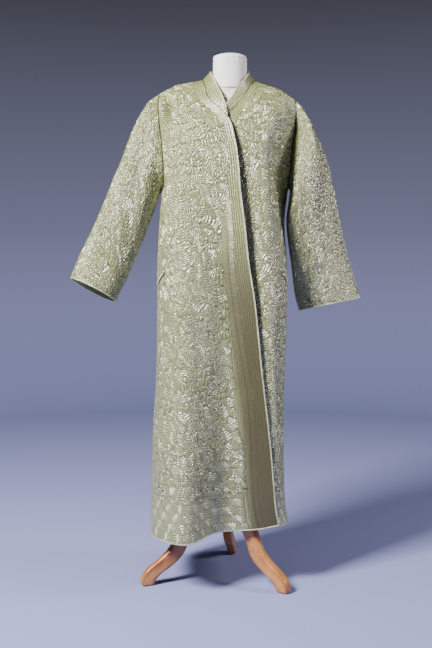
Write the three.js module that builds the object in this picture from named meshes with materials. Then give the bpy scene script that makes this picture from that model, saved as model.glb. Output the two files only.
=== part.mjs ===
// Quilted silk coat on a limbless dress form with a three-legged wood stand.
// Millimetres, +Z up. The floor is Z = 0, the wearer's left is +X and the wearer faces -Y.
import * as THREE from "three";

// ---- Driving dimensions ---------------------------------------------------

const WALL = 3.6; // quilted sandwich: silk, wadding and backing
const SEAM_INSET = 0.2; // each piece stops this far short of its seam line
const SLEEVE_INSET = 0.35; // a sleeve turns away from its seam, so it starts a little further off
const ARMHOLE_STEPS = 10; // mesh rows from the shoulder seam to the underarm
const SKIRT_STEPS = 14; // mesh rows from the underarm to the hem
const RIGHT_FRONT_STEPS = 18; // mesh columns, from the free edge to the side seam
const LEFT_FRONT_STEPS = 14;
const BACK_SHOULDER_STEPS = 6;
const BACK_NECK_STEPS = 8;
const SLEEVE_STEPS = 13;
const MAX_WALL_SLANT = 1.5; // limit on how far a slanted wall is lengthened to keep its thickness

const BODY_CORE = { x: 22, y: 0, z: 1385 }; // walls get their thickness towards this upright line
const CORE_REACH = { x: 220, y: 120, z: 100 };

const NECK_X = 42; // the neck stands a little to the wearer's left of the stand
const STAND_X = 15;
const FOOTPRINT_CENTRE = { x: 7, y: 25 }; // middle of the whole thing's box, which is its origin

// ---- Section tables -------------------------------------------------------

function table(columns, rows) {
  return rows.map((row) => Object.fromEntries(columns.map((name, i) => [name, row[i]])));
}

// The right front lies on top. Each row runs from its free edge or neckline to the armhole or side
// seam: a flat lap, a valley, the crest of the big fold, the turn to the side, and the seam.
const RIGHT_FRONT = table(
  ["edgeX", "edgeY", "flatX", "flatY", "valleyX", "valleyY", "crestX", "crestY", "turnX", "turnY",
    "sideX", "sideY", "edgeZ", "crestZ", "sideZ"],
  [
    [-40, 2, -66, 3, -92, 4, -118, 5, -145, 6, -171, 8, 1526, 1512, 1487],
    [-34, -35, -60, -39, -88, -41, -118, -38, -149, -30, -173, -18, 1504, 1487, 1455],
    [-20, -75, -48, -83, -80, -86, -115, -80, -150, -60, -170, -32, 1460, 1432, 1400],
    [35, -118, 2, -120, -40, -119, -90, -110, -143, -84, -163, -38, 1399, 1366, 1335],
    [54, -139, 18, -135, -28, -130, -88, -122, -145, -96, -158, -34, 1335, 1300, 1266],
    [65, -147, 28, -142, -20, -136, -88, -128, -146, -101, -159, -15, 1262, 1238, 1214],
    [70, -151, 32, -145, -13, -139, -88, -134, -148, -101, -163, 5, 1190, 1190, 1190],
    [83, -153, 45, -146, 0, -137, -84, -142, -155, -98, -174, 8, 1090, 1090, 1090],
    [95, -152, 58, -145, 12, -134, -82, -154, -160, -100, -181, 8, 980, 980, 980],
    [115, -148, 75, -142, 20, -130, -84, -168, -162, -105, -181, 8, 850, 850, 850],
    [136, -141, 92, -138, 24, -126, -86, -182, -166, -115, -184, 8, 650, 650, 650],
    [162, -131, 108, -132, 22, -119, -88, -195, -175, -120, -197, 8, 430, 430, 430],
    [177, -124, 118, -126, 14, -114, -88, -203, -180, -122, -200, 8, 260, 260, 260],
    [188, -118, 126, -121, 6, -112, -88, -207, -184, -122, -204, 8, 193, 160, 158],
  ],
);

// The left front lies under. Its free edge is hidden behind the right front.
const LEFT_FRONT = table(
  ["edgeX", "edgeY", "hiddenX", "hiddenY", "lapX", "lapY", "faceX", "faceY", "turnX", "turnY",
    "sideX", "sideY", "edgeZ", "crestZ", "sideZ"],
  [
    [116, 2, 139, 3, 163, 4, 188, 5, 213, 6, 238, 8, 1524, 1501, 1470],
    [100, -35, 124, -39, 150, -40, 178, -38, 210, -32, 241, -16, 1498, 1475, 1440],
    [74, -75, 100, -84, 134, -89, 174, -85, 208, -66, 239, -22, 1455, 1425, 1390],
    [30, -103, 62, -112, 104, -117, 158, -111, 189, -72, 232, -18, 1400, 1365, 1330],
    [10, -117, 46, -122, 88, -125, 142, -121, 170, -78, 226, -12, 1335, 1300, 1265],
    [-5, -121, 37, -125, 90, -127, 147, -123, 171, -76, 221, -2, 1262, 1240, 1218],
    [-15, -122, 33, -124, 88, -128, 151, -125, 175, -76, 219, 6, 1195, 1197, 1200],
    [-25, -121, 31, -124, 93, -128, 152, -127, 183, -88, 209, 8, 1095, 1096, 1097],
    [-32, -118, 35, -121, 100, -127, 152, -130, 200, -92, 216, 8, 982, 982, 982],
    [-40, -116, 30, -116, 120, -131, 161, -131, 203, -88, 216, 8, 850, 850, 850],
    [-48, -112, 25, -112, 140, -129, 172, -126, 200, -83, 212, 8, 650, 650, 650],
    [-55, -104, 20, -105, 165, -120, 186, -112, 202, -74, 208, 8, 430, 430, 430],
    [-58, -99, 15, -100, 180, -112, 197, -99, 208, -58, 213, 8, 260, 260, 260],
    [-60, -99, 10, -98, 191, -107, 208, -88, 219, -52, 222, 8, 186, 190, 182],
  ],
);

// The back runs from the right armhole or side seam to the left one, with soft hanging folds.
const BACK = table(
  ["rightX", "rightY", "rightTurnX", "rightTurnY", "rightFoldX", "rightFoldY", "centreX", "centreY",
    "leftFoldX", "leftFoldY", "leftTurnX", "leftTurnY", "leftX", "leftY", "rightZ", "centreZ", "leftZ"],
  [
    [-171, 8, -105, 5, -40, 2, 42, 61, 116, 2, 177, 5, 238, 8, 1487, 1528, 1470],
    [-173, 36, -120, 50, -55, 66, 38, 84, 125, 66, 185, 50, 241, 34, 1453, 1492, 1440],
    [-172, 54, -130, 80, -62, 95, 36, 98, 130, 95, 198, 79, 242, 52, 1395, 1440, 1388],
    [-169, 58, -135, 90, -65, 108, 34, 106, 132, 108, 205, 90, 240, 57, 1330, 1372, 1328],
    [-166, 50, -138, 94, -68, 113, 32, 108, 133, 113, 206, 94, 236, 50, 1264, 1300, 1264],
    [-164, 28, -140, 94, -70, 115, 30, 108, 132, 115, 203, 94, 228, 30, 1213, 1238, 1217],
    [-163, 5, -142, 92, -70, 117, 30, 108, 130, 117, 198, 92, 219, 6, 1190, 1194, 1200],
    [-174, 8, -146, 94, -72, 120, 28, 106, 128, 121, 192, 94, 209, 8, 1090, 1093, 1097],
    [-181, 8, -150, 98, -74, 127, 26, 108, 126, 128, 194, 98, 216, 8, 980, 981, 982],
    [-181, 8, -155, 104, -78, 140, 22, 112, 124, 141, 195, 102, 216, 8, 850, 850, 850],
    [-184, 8, -160, 114, -82, 158, 18, 122, 122, 160, 192, 110, 212, 8, 650, 650, 650],
    [-197, 8, -172, 122, -88, 174, 14, 134, 118, 178, 190, 116, 208, 8, 430, 430, 430],
    [-200, 8, -178, 126, -90, 184, 12, 142, 118, 190, 192, 120, 213, 8, 260, 260, 260],
    [-204, 8, -182, 128, -92, 189, 10, 146, 118, 195, 196, 122, 222, 8, 158, 166, 182],
  ],
);

// A sleeve row is one section: its outer and inner end, how deep it is to the front and back, and
// how far its front stands above those ends and its back below them.
const SLEEVE_COLUMNS = ["outerX", "outerY", "outerZ", "innerX", "innerY", "innerZ", "front", "back", "tilt"];

const RIGHT_SLEEVE = table(SLEEVE_COLUMNS, [
  [-203, 4, 1461, -172, 0, 1183, 52, 60, 0],
  [-232, 0, 1414, -184, -6, 1143, 58, 62, 0],
  [-255, -6, 1363, -200, -14, 1100, 62, 60, 0],
  [-284, -16, 1282, -221, -26, 1044, 62, 56, 0],
  [-320, -30, 1196, -244, -38, 990, 60, 54, 0],
  [-358, -44, 1106, -267, -50, 934, 58, 54, 1],
  [-403, -58, 1006, -286, -60, 890, 57, 54, 5],
  [-434, -68, 930, -298, -68, 862, 56, 54, 14],
]);

const LEFT_SLEEVE = table(SLEEVE_COLUMNS, [
  [263, 6, 1443, 228, 7, 1188, 50, 58, 0],
  [289, -4, 1399, 222, -4, 1148, 58, 58, 0],
  [305, -12, 1358, 216, -18, 1105, 62, 56, 0],
  [330, -8, 1302, 219, -12, 1047, 60, 54, 0],
  [353, 4, 1213, 226, 0, 984, 56, 50, 0],
  [379, 18, 1107, 237, 14, 921, 52, 48, 0],
  [409, 34, 996, 247, 30, 869, 48, 46, 1],
  [447, 46, 868, 257, 40, 829, 48, 46, 3],
]);

// The neckband's free edge, from the right front round the neck to the left front. It is sewn to
// the neckline, whose right and left shoulder seams it passes at rows 4 and 8.
const NECKBAND = table(
  ["x", "y", "z"],
  [
    [29, -104, 1431],
    [18, -80, 1467],
    [7, -58, 1493],
    [-7, -34, 1524],
    [-18, 0, 1549],
    [-9, 36, 1553],
    [42, 61, 1555],
    [93, 36, 1553],
    [101, 0, 1549],
    [86, -40, 1522],
    [61, -62, 1490],
    [41, -84, 1456],
    [18, -99, 1424],
  ],
);
const NECKLINE_ROWS = 5; // mesh rows of a front that end on the neckline
const BACK_NECKLINE = table(
  ["x", "y", "z"],
  [[-40, 2, 1526], [-26, 42, 1528], [42, 65, 1528], [105, 42, 1527], [116, 2, 1524]],
);

const POCKETS = { width: 7, thickness: 2.4, gap: 0.4, steps: 8 };
const POCKET_ENDS = table(
  ["topInset", "topZ", "lowInset", "lowZ"],
  [
    [122, 944, 74, 912],
    [112, 944, 66, 918],
  ],
);

const TORSO = table(
  ["z", "halfWidth", "front", "back"],
  [
    [790, 150, 85, 85],
    [800, 165, 96, 96],
    [900, 172, 104, 100],
    [1000, 148, 92, 88],
    [1080, 130, 84, 80],
    [1180, 146, 98, 86],
    [1260, 158, 104, 90],
    [1340, 168, 100, 86],
    [1400, 174, 86, 78],
    [1436, 170, 70, 70],
    [1458, 156, 57, 62],
    [1474, 130, 49, 57],
    [1486, 92, 47, 54],
    [1496, 56, 48, 54],
  ],
);
const TORSO_X = 30;
const TORSO_SIDES = 28;
const NECK_PROFILE = table(
  ["radius", "z"],
  [[0, 1496.4], [52.5, 1496.4], [51.5, 1515], [51.5, 1540], [51.5, 1570], [51, 1588], [48, 1594], [0, 1594]],
);
const NECK_CAP_PROFILE = table(
  ["radius", "z"],
  [[0, 1594.4], [47, 1594.4], [45, 1598], [38, 1601], [20, 1602.5], [0, 1603]],
);
const POLE_PROFILE = table(
  ["radius", "z"],
  [[0, 330.4], [15, 330.4], [15, 700], [22, 720], [22, 789.6], [0, 789.6]],
);
const HUB_PROFILE = table(
  ["radius", "z"],
  [[0, 176], [14, 176], [24, 186], [30, 200], [30, 296], [24, 312], [20, 330], [0, 330]],
);

// The leg's outline, from the hub down over the back of the curve to the toe and up the inside.
const LEG_OUTLINE = table(
  ["reach", "z"],
  [
    [30.4, 288], [56, 282], [88, 260], [112, 224], [128, 194], [135, 176], [144, 150], [158, 121],
    [176, 98], [203, 76], [232, 56], [252, 36], [260, 14], [256, 2], [248, 0], [226, 0], [219, 6],
    [214, 16], [198, 32], [168, 50], [141, 70], [122, 92], [111, 118], [99, 146], [84, 168],
    [66, 190], [50, 202], [30.4, 206],
  ],
);
const LEG_THICKNESS = 27;
const LEG_ANGLES = { stand_leg_left: 320.7, stand_leg_right: 200.7, stand_leg_back: 80.7 };

const CLOTH = { color: 0xb9bb9c, roughness: 0.5, metalness: 0 };
const COTTON = { color: 0xdedade, roughness: 0.9, metalness: 0 };
const WOOD = { color: 0x8a4a20, roughness: 0.35, metalness: 0 };

// ---- Curves and meshes ----------------------------------------------------

function spline(points) {
  return new THREE.CatmullRomCurve3(points, false, "centripetal");
}

// A value between table rows, by a smooth curve through the column.
function columnAt(rows, name, at) {
  const last = rows.length - 1;
  const i = Math.min(Math.floor(at), last - 1);
  const t = at - i;
  const [a, b] = [rows[i][name], rows[i + 1][name]];
  const before = i > 0 ? rows[i - 1][name] : 2 * a - b;
  const after = i + 2 <= last ? rows[i + 2][name] : 2 * b - a;
  const inSlope = (b - before) / 2;
  const outSlope = (after - a) / 2;
  const t2 = t * t;
  const t3 = t2 * t;
  return (2 * t3 - 3 * t2 + 1) * a + (t3 - 2 * t2 + t) * inSlope + (3 * t2 - 2 * t3) * b + (t3 - t2) * outSlope;
}

function pointAt(rows, name, at, z) {
  return new THREE.Vector3(columnAt(rows, `${name}X`, at), columnAt(rows, `${name}Y`, at), z);
}

const UNDERARM_ROW = 6;
const HEM_ROW = RIGHT_FRONT.length - 1;

// Mesh row k to table row: the armhole part first, then the skirt.
function tableRow(k) {
  if (k <= ARMHOLE_STEPS) return (k / ARMHOLE_STEPS) * UNDERARM_ROW;
  return UNDERARM_ROW + ((k - ARMHOLE_STEPS) / SKIRT_STEPS) * (HEM_ROW - UNDERARM_ROW);
}

const FRONT_STATIONS = {
  right: ["edge", "flat", "valley", "crest", "turn", "side"],
  left: ["edge", "hidden", "lap", "face", "turn", "side"],
};
const FRONT_CREST = 0.6; // the crest's place among a front's stations

function frontRow(rows, stations, at) {
  const [edgeZ, crestZ, sideZ] = ["edgeZ", "crestZ", "sideZ"].map((name) => columnAt(rows, name, at));
  const points = stations.map((name, i) => {
    const t = i / (stations.length - 1);
    const z = t < FRONT_CREST
      ? THREE.MathUtils.lerp(edgeZ, crestZ, t / FRONT_CREST)
      : THREE.MathUtils.lerp(crestZ, sideZ, (t - FRONT_CREST) / (1 - FRONT_CREST));
    return pointAt(rows, name, at, z);
  });
  return spline(points);
}

function frontGrid(rows, stations, steps) {
  const grid = [];
  for (let k = 0; k <= ARMHOLE_STEPS + SKIRT_STEPS; k += 1) {
    grid.push(frontRow(rows, stations, tableRow(k)).getSpacedPoints(steps));
  }
  return grid;
}

const BACK_STATIONS = ["right", "rightTurn", "rightFold", "centre", "leftFold", "leftTurn", "left"];
const NECK_CORNERS = { right: 2, left: 4 }; // stations where the shoulder seams meet the neckline

function backPoints(at) {
  const [rightZ, centreZ, leftZ] = ["rightZ", "centreZ", "leftZ"].map((name) => columnAt(BACK, name, at));
  const rise = at < 1 ? 1 - at : 0; // only the top row steps up to the shoulder seams
  return BACK_STATIONS.map((name, i) => {
    const t = i / (BACK_STATIONS.length - 1);
    const sideZ = t < 0.5 ? rightZ : leftZ;
    const share = 1 - Math.abs(2 * t - 1);
    const level = THREE.MathUtils.lerp(sideZ, centreZ, Math.sqrt(share));
    const straight = THREE.MathUtils.lerp(sideZ, centreZ, Math.min(1, share * 1.5));
    return pointAt(BACK, name, at, THREE.MathUtils.lerp(level, straight, rise));
  });
}

// The neck corners fall on mesh columns, so the top row is drawn in three stretches.
function backGrid() {
  const steps = 2 * BACK_SHOULDER_STEPS + BACK_NECK_STEPS;
  const grid = [];
  for (let k = 0; k <= ARMHOLE_STEPS + SKIRT_STEPS; k += 1) {
    grid.push(spline(backPoints(tableRow(k))).getSpacedPoints(steps));
  }
  grid[0] = [
    ...shoulderSeam(RIGHT_FRONT, FRONT_STATIONS.right, BACK_SHOULDER_STEPS).reverse().slice(0, -1),
    ...backNeckline(BACK_NECK_STEPS),
    ...shoulderSeam(LEFT_FRONT, FRONT_STATIONS.left, BACK_SHOULDER_STEPS).slice(1),
  ];
  return grid;
}

function shoulderSeam(rows, stations, steps) {
  return frontRow(rows, stations, 0).getSpacedPoints(steps);
}

function curveThrough(rows) {
  return spline(rows.map((row) => new THREE.Vector3(row.x, row.y, row.z)));
}

function backNeckline(steps) {
  return curveThrough(BACK_NECKLINE).getSpacedPoints(steps);
}

// The direction out of the body at a point, the same for every piece that meets there.
function bodyOutward(point) {
  const dz = Math.max(0, point.z - BODY_CORE.z);
  return new THREE.Vector3(
    (point.x - BODY_CORE.x) / CORE_REACH.x ** 2,
    (point.y - BODY_CORE.y) / CORE_REACH.y ** 2,
    dz / CORE_REACH.z ** 2,
  ).normalize();
}

function gridNormal(grid, r, c, closed) {
  const width = grid[0].length;
  const right = closed ? grid[r][(c + 1) % width] : grid[r][Math.min(c + 1, width - 1)];
  const left = closed ? grid[r][(c + width - 1) % width] : grid[r][Math.max(c - 1, 0)];
  const down = grid[Math.min(r + 1, grid.length - 1)][c];
  const up = grid[Math.max(r - 1, 0)][c];
  const across = new THREE.Vector3().subVectors(right, left);
  const along = new THREE.Vector3().subVectors(down, up);
  return across.cross(along).normalize();
}

// Pull a sheet's rim back from its seam lines, so that neighbours stay a hair apart.
function inset(grid, edges) {
  const out = grid.map((row) => row.map((point) => point.clone()));
  const rows = grid.length - 1;
  const columns = grid[0].length - 1;
  const pull = (r, c, dr, dc) => {
    const step = new THREE.Vector3().subVectors(grid[r + dr][c + dc], grid[r][c]);
    out[r][c].addScaledVector(step.normalize(), SEAM_INSET);
  };
  for (let c = 0; c <= columns; c += 1) {
    if (edges.top) pull(0, c, 1, 0);
  }
  for (let r = 0; r <= rows; r += 1) {
    if (edges.left) pull(r, 0, 0, 1);
    if (edges.right) pull(r, columns, 0, -1);
  }
  return out;
}

// A wall from its outer sheet: the inner sheet lies one thickness inside.
function innerSheet(grid, outward, thickness, closed) {
  return grid.map((row, r) => row.map((point, c) => {
    const direction = outward(point, r, c);
    const normal = gridNormal(grid, r, c, closed);
    const slant = 1 / Math.max(Math.abs(direction.dot(normal)), 1 / MAX_WALL_SLANT);
    return point.clone().addScaledVector(direction, -thickness * slant);
  }));
}

// One closed body from an outer and an inner sheet of the same layout.
function wallGeometry(outer, inner, closed) {
  const rows = outer.length;
  const columns = outer[0].length;
  const positions = [...outer.flat(), ...inner.flat()].flatMap((p) => [p.x, p.y, p.z]);
  const at = (side, r, c) => side * rows * columns + r * columns + (c % columns);
  const faces = [];
  const quad = (a, b, c, d) => faces.push(a, b, c, a, c, d);
  const spans = closed ? columns : columns - 1;
  for (let r = 0; r < rows - 1; r += 1) {
    for (let c = 0; c < spans; c += 1) {
      quad(at(0, r, c), at(0, r, c + 1), at(0, r + 1, c + 1), at(0, r + 1, c));
      quad(at(1, r, c), at(1, r + 1, c), at(1, r + 1, c + 1), at(1, r, c + 1));
    }
    if (!closed) {
      quad(at(0, r, 0), at(0, r + 1, 0), at(1, r + 1, 0), at(1, r, 0));
      quad(at(0, r, spans), at(1, r, spans), at(1, r + 1, spans), at(0, r + 1, spans));
    }
  }
  for (let c = 0; c < spans; c += 1) {
    quad(at(0, 0, c), at(1, 0, c), at(1, 0, c + 1), at(0, 0, c + 1));
    quad(at(0, rows - 1, c), at(0, rows - 1, c + 1), at(1, rows - 1, c + 1), at(1, rows - 1, c));
  }
  const geometry = new THREE.BufferGeometry();
  geometry.setAttribute("position", new THREE.Float32BufferAttribute(positions, 3));
  geometry.setIndex(outwardFaces(positions, faces));
  geometry.computeVertexNormals();
  return geometry;
}

// Turn the faces over where the body came out with its inside outward.
function outwardFaces(positions, faces) {
  const corner = (i) => new THREE.Vector3().fromArray(positions, i * 3);
  let volume = 0;
  for (let i = 0; i < faces.length; i += 3) {
    volume += corner(faces[i]).dot(corner(faces[i + 1]).cross(corner(faces[i + 2])));
  }
  if (volume > 0) return faces;
  const turned = [];
  for (let i = 0; i < faces.length; i += 3) turned.push(faces[i], faces[i + 2], faces[i + 1]);
  return turned;
}

function mesh(name, geometry, finish) {
  const piece = new THREE.Mesh(geometry, new THREE.MeshStandardMaterial(finish));
  piece.name = name;
  return piece;
}

// ---- The coat -------------------------------------------------------------

function bodyPanel(name, grid, edges) {
  const outer = inset(grid, edges);
  const inner = innerSheet(grid, bodyOutward, WALL, false);
  const shifted = inner.map((row, r) => row.map((point, c) => {
    const shift = new THREE.Vector3().subVectors(outer[r][c], grid[r][c]);
    return point.add(shift);
  }));
  return mesh(name, wallGeometry(outer, shifted, false), CLOTH);
}

function sleeveGrid(rows, armholeLoop) {
  const around = armholeLoop.length;
  const grid = [armholeLoop];
  for (let k = 1; k <= SLEEVE_STEPS; k += 1) {
    const at = ((k - 1) / (SLEEVE_STEPS - 1)) * (rows.length - 1);
    const value = (name) => columnAt(rows, name, at);
    const outer = new THREE.Vector3(value("outerX"), value("outerY"), value("outerZ"));
    const inner = new THREE.Vector3(value("innerX"), value("innerY"), value("innerZ"));
    const centre = new THREE.Vector3().addVectors(outer, inner).multiplyScalar(0.5);
    const half = new THREE.Vector3().subVectors(outer, inner).multiplyScalar(0.5);
    const ring = [];
    for (let i = 0; i < around; i += 1) {
      const angle = (i / around) * 2 * Math.PI;
      const toFront = Math.sin(angle);
      const depth = toFront > 0 ? -value("front") : value("back");
      const bulge = Math.abs(toFront) ** 0.8 * Math.abs(depth) * Math.sign(-toFront);
      const point = centre.clone().addScaledVector(half, Math.cos(angle));
      point.y += bulge;
      point.z += toFront * value("tilt");
      ring.push(point);
    }
    grid.push(ring);
  }
  return grid;
}

// The armhole loop: down the front panel's edge from the shoulder and up the back panel's edge.
function armholeLoop(front, back, backColumn) {
  const loop = [];
  for (let k = 0; k <= ARMHOLE_STEPS; k += 1) loop.push(front[k][front[k].length - 1].clone());
  for (let k = ARMHOLE_STEPS - 1; k > 0; k -= 1) loop.push(back[k][backColumn].clone());
  return loop;
}

function sleeve(name, rows, loop) {
  const grid = sleeveGrid(rows, loop);
  const outer = grid.map((ring) => ring.map((point) => point.clone()));
  outer[0].forEach((point, i) => {
    const step = new THREE.Vector3().subVectors(grid[1][i], grid[0][i]).normalize();
    point.addScaledVector(step, SLEEVE_INSET);
  });
  const centres = outer.map((ring) => ring
    .reduce((sum, point) => sum.add(point), new THREE.Vector3())
    .multiplyScalar(1 / ring.length));
  const toOutside = (point, r, c) => {
    const ring = outer[r];
    const tangent = new THREE.Vector3()
      .subVectors(ring[(c + 1) % ring.length], ring[(c + ring.length - 1) % ring.length]);
    const axis = new THREE.Vector3()
      .subVectors(centres[Math.min(r + 1, centres.length - 1)], centres[Math.max(r - 1, 0)]);
    if (r === 0) axis.set(1, 0, 0); // the armhole seam stands upright beside the panels
    const normal = tangent.cross(axis).normalize();
    const away = new THREE.Vector3().subVectors(point, centres[r]);
    return normal.dot(away) < 0 ? normal.negate() : normal;
  };
  return mesh(name, wallGeometry(outer, innerSheet(outer, toOutside, WALL, true), true), CLOTH);
}

function neckband(rightPanel, backPanel, leftPanel) {
  const curve = curveThrough(NECKBAND);
  const seamRow = (t) => (4 * t) / (NECKBAND.length - 1);
  const seam = [];
  const places = [];
  for (let k = NECKLINE_ROWS; k >= 0; k -= 1) {
    seam.push(rightPanel[k][0]);
    places.push(seamRow(1 - k / NECKLINE_ROWS));
  }
  for (let c = 1; c < BACK_NECK_STEPS; c += 1) {
    seam.push(backPanel[0][BACK_SHOULDER_STEPS + c]);
    places.push(seamRow(1 + c / BACK_NECK_STEPS));
  }
  for (let k = 0; k <= NECKLINE_ROWS; k += 1) {
    seam.push(leftPanel[k][0]);
    places.push(seamRow(2 + k / NECKLINE_ROWS));
  }
  const grid = [[], [], []];
  seam.forEach((point, i) => {
    const high = curve.getPoint(places[i]);
    const rise = new THREE.Vector3().subVectors(high, point).setLength(2 * SEAM_INSET);
    const low = new THREE.Vector3().addVectors(point, rise);
    grid[0].push(high);
    grid[1].push(new THREE.Vector3().addVectors(low, high).multiplyScalar(0.5));
    grid[2].push(low);
  });
  const outward = (point, r, c) => {
    const normal = gridNormal(grid, r, c, false);
    const away = new THREE.Vector3(point.x - NECK_X, point.y, 0);
    return normal.dot(away) < 0 ? normal.negate() : normal;
  };
  return mesh("collar", wallGeometry(grid, innerSheet(grid, outward, WALL - 0.4, false), false), CLOTH);
}

// A pocket welt is a narrow strip laid on its front panel, from points of the panel moved out.
function pocketWelt(name, rows, stations, ends) {
  const onPanel = (insetFromSide, z) => {
    let low = UNDERARM_ROW;
    let high = HEM_ROW;
    for (let i = 0; i < 30; i += 1) {
      const middle = (low + high) / 2;
      if (columnAt(rows, "crestZ", middle) > z) low = middle;
      else high = middle;
    }
    const curve = frontRow(rows, stations, low);
    return curve.getPointAt(1 - insetFromSide / curve.getLength());
  };
  const raised = (point, by) => point.clone().addScaledVector(panelNormal(point, onPanel, ends), by);
  const outer = [[], []];
  const inner = [[], []];
  for (let i = 0; i <= POCKETS.steps; i += 1) {
    const t = i / POCKETS.steps;
    const insetFromSide = THREE.MathUtils.lerp(ends.topInset, ends.lowInset, t);
    const z = THREE.MathUtils.lerp(ends.topZ, ends.lowZ, t);
    [0, POCKETS.width].forEach((drop, side) => {
      const point = onPanel(insetFromSide + drop * 0.5, z - drop);
      outer[side].push(raised(point, POCKETS.gap + POCKETS.thickness));
      inner[side].push(raised(point, POCKETS.gap));
    });
  }
  return mesh(name, wallGeometry(outer, inner, false), CLOTH);
}

function panelNormal(point, onPanel, ends) {
  const insetFromSide = (ends.topInset + ends.lowInset) / 2;
  const z = (ends.topZ + ends.lowZ) / 2;
  const across = new THREE.Vector3().subVectors(onPanel(insetFromSide + 20, z), onPanel(insetFromSide - 20, z));
  const along = new THREE.Vector3().subVectors(onPanel(insetFromSide, z - 20), onPanel(insetFromSide, z + 20));
  const normal = across.cross(along).normalize();
  return normal.dot(bodyOutward(point)) < 0 ? normal.negate() : normal;
}

// ---- The form and its stand -----------------------------------------------

function lathe(name, profile, x, finish, sides) {
  const points = profile.map((row) => new THREE.Vector2(row.radius, row.z));
  const geometry = new THREE.LatheGeometry(points, sides);
  geometry.rotateX(Math.PI / 2);
  const piece = mesh(name, geometry, finish);
  piece.position.set(x, 0, 0);
  return piece;
}

function torso() {
  const positions = [];
  const faces = [];
  TORSO.forEach((row) => {
    for (let i = 0; i < TORSO_SIDES; i += 1) {
      const angle = (i / TORSO_SIDES) * 2 * Math.PI;
      const depth = Math.sin(angle) < 0 ? row.front : row.back;
      const lean = ((row.z - TORSO[0].z) / (TORSO.at(-1).z - TORSO[0].z)) * (NECK_X - TORSO_X);
      positions.push(TORSO_X + lean + row.halfWidth * Math.cos(angle), depth * Math.sin(angle), row.z);
    }
  });
  const lowCentre = positions.length / 3;
  positions.push(TORSO_X, 0, TORSO[0].z, NECK_X, 0, TORSO.at(-1).z);
  for (let i = 0; i < TORSO_SIDES; i += 1) {
    const next = (i + 1) % TORSO_SIDES;
    for (let r = 0; r < TORSO.length - 1; r += 1) {
      const [a, b] = [r * TORSO_SIDES, (r + 1) * TORSO_SIDES];
      faces.push(a + i, a + next, b + next, a + i, b + next, b + i);
    }
    const top = (TORSO.length - 1) * TORSO_SIDES;
    faces.push(lowCentre, next, i, lowCentre + 1, top + i, top + next);
  }
  const geometry = new THREE.BufferGeometry();
  geometry.setAttribute("position", new THREE.Float32BufferAttribute(positions, 3));
  geometry.setIndex(outwardFaces(positions, faces));
  geometry.computeVertexNormals();
  return mesh("form_torso", geometry, COTTON);
}

function leg(name, degrees) {
  const shape = new THREE.Shape(LEG_OUTLINE.map((row) => new THREE.Vector2(row.reach, row.z)));
  const geometry = new THREE.ExtrudeGeometry(shape, {
    depth: LEG_THICKNESS,
    bevelEnabled: false,
  });
  geometry.translate(0, 0, -LEG_THICKNESS / 2);
  geometry.rotateX(Math.PI / 2);
  const piece = mesh(name, geometry, WOOD);
  piece.position.set(STAND_X, 0, 0);
  piece.rotation.z = THREE.MathUtils.degToRad(degrees);
  return piece;
}

// ---- Assembly -------------------------------------------------------------

const coat = new THREE.Group();
const rightFront = frontGrid(RIGHT_FRONT, FRONT_STATIONS.right, RIGHT_FRONT_STEPS);
const leftFront = frontGrid(LEFT_FRONT, FRONT_STATIONS.left, LEFT_FRONT_STEPS);
const back = backGrid();
for (let k = ARMHOLE_STEPS; k <= ARMHOLE_STEPS + SKIRT_STEPS; k += 1) {
  back[k][0].copy(rightFront[k].at(-1)); // the side seams are shared
  back[k].at(-1).copy(leftFront[k].at(-1));
}
coat.add(bodyPanel("coat_front_right", rightFront, { top: true, right: true }));
coat.add(bodyPanel("coat_front_left", leftFront, { top: true, right: true }));
coat.add(bodyPanel("coat_back", back, { top: true, left: true, right: true }));
coat.add(sleeve("sleeve_right", RIGHT_SLEEVE, armholeLoop(rightFront, back, 0)));
coat.add(sleeve("sleeve_left", LEFT_SLEEVE, armholeLoop(leftFront, back, back[0].length - 1)));
coat.add(neckband(rightFront, back, leftFront));
coat.add(pocketWelt("pocket_welt_right", RIGHT_FRONT, FRONT_STATIONS.right, POCKET_ENDS[0]));
coat.add(pocketWelt("pocket_welt_left", LEFT_FRONT, FRONT_STATIONS.left, POCKET_ENDS[1]));

const form = new THREE.Group();
form.add(torso());
form.add(lathe("form_neck", NECK_PROFILE, NECK_X, COTTON, 28));
form.add(lathe("form_neck_cap", NECK_CAP_PROFILE, NECK_X, COTTON, 28));
form.add(lathe("stand_pole", POLE_PROFILE, STAND_X, WOOD, 20));
form.add(lathe("stand_hub", HUB_PROFILE, STAND_X, WOOD, 24));
for (const [name, degrees] of Object.entries(LEG_ANGLES)) form.add(leg(name, degrees));

const part = new THREE.Group();
part.add(coat, form);
part.position.set(-FOOTPRINT_CENTRE.x, -FOOTPRINT_CENTRE.y, 0);

export default part;
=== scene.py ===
"""Quilted silk coat on a limbless dress form with a three-legged beech stand.

The coat's walls are drawn again from the part's own section tables, fine enough to carry their quilting
in relief. Metres in the row's frame; tables and cloth sizes are in millimetres.
"""

import logging
import math
from dataclasses import dataclass
from enum import Enum
from typing import Callable, Sequence

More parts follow.
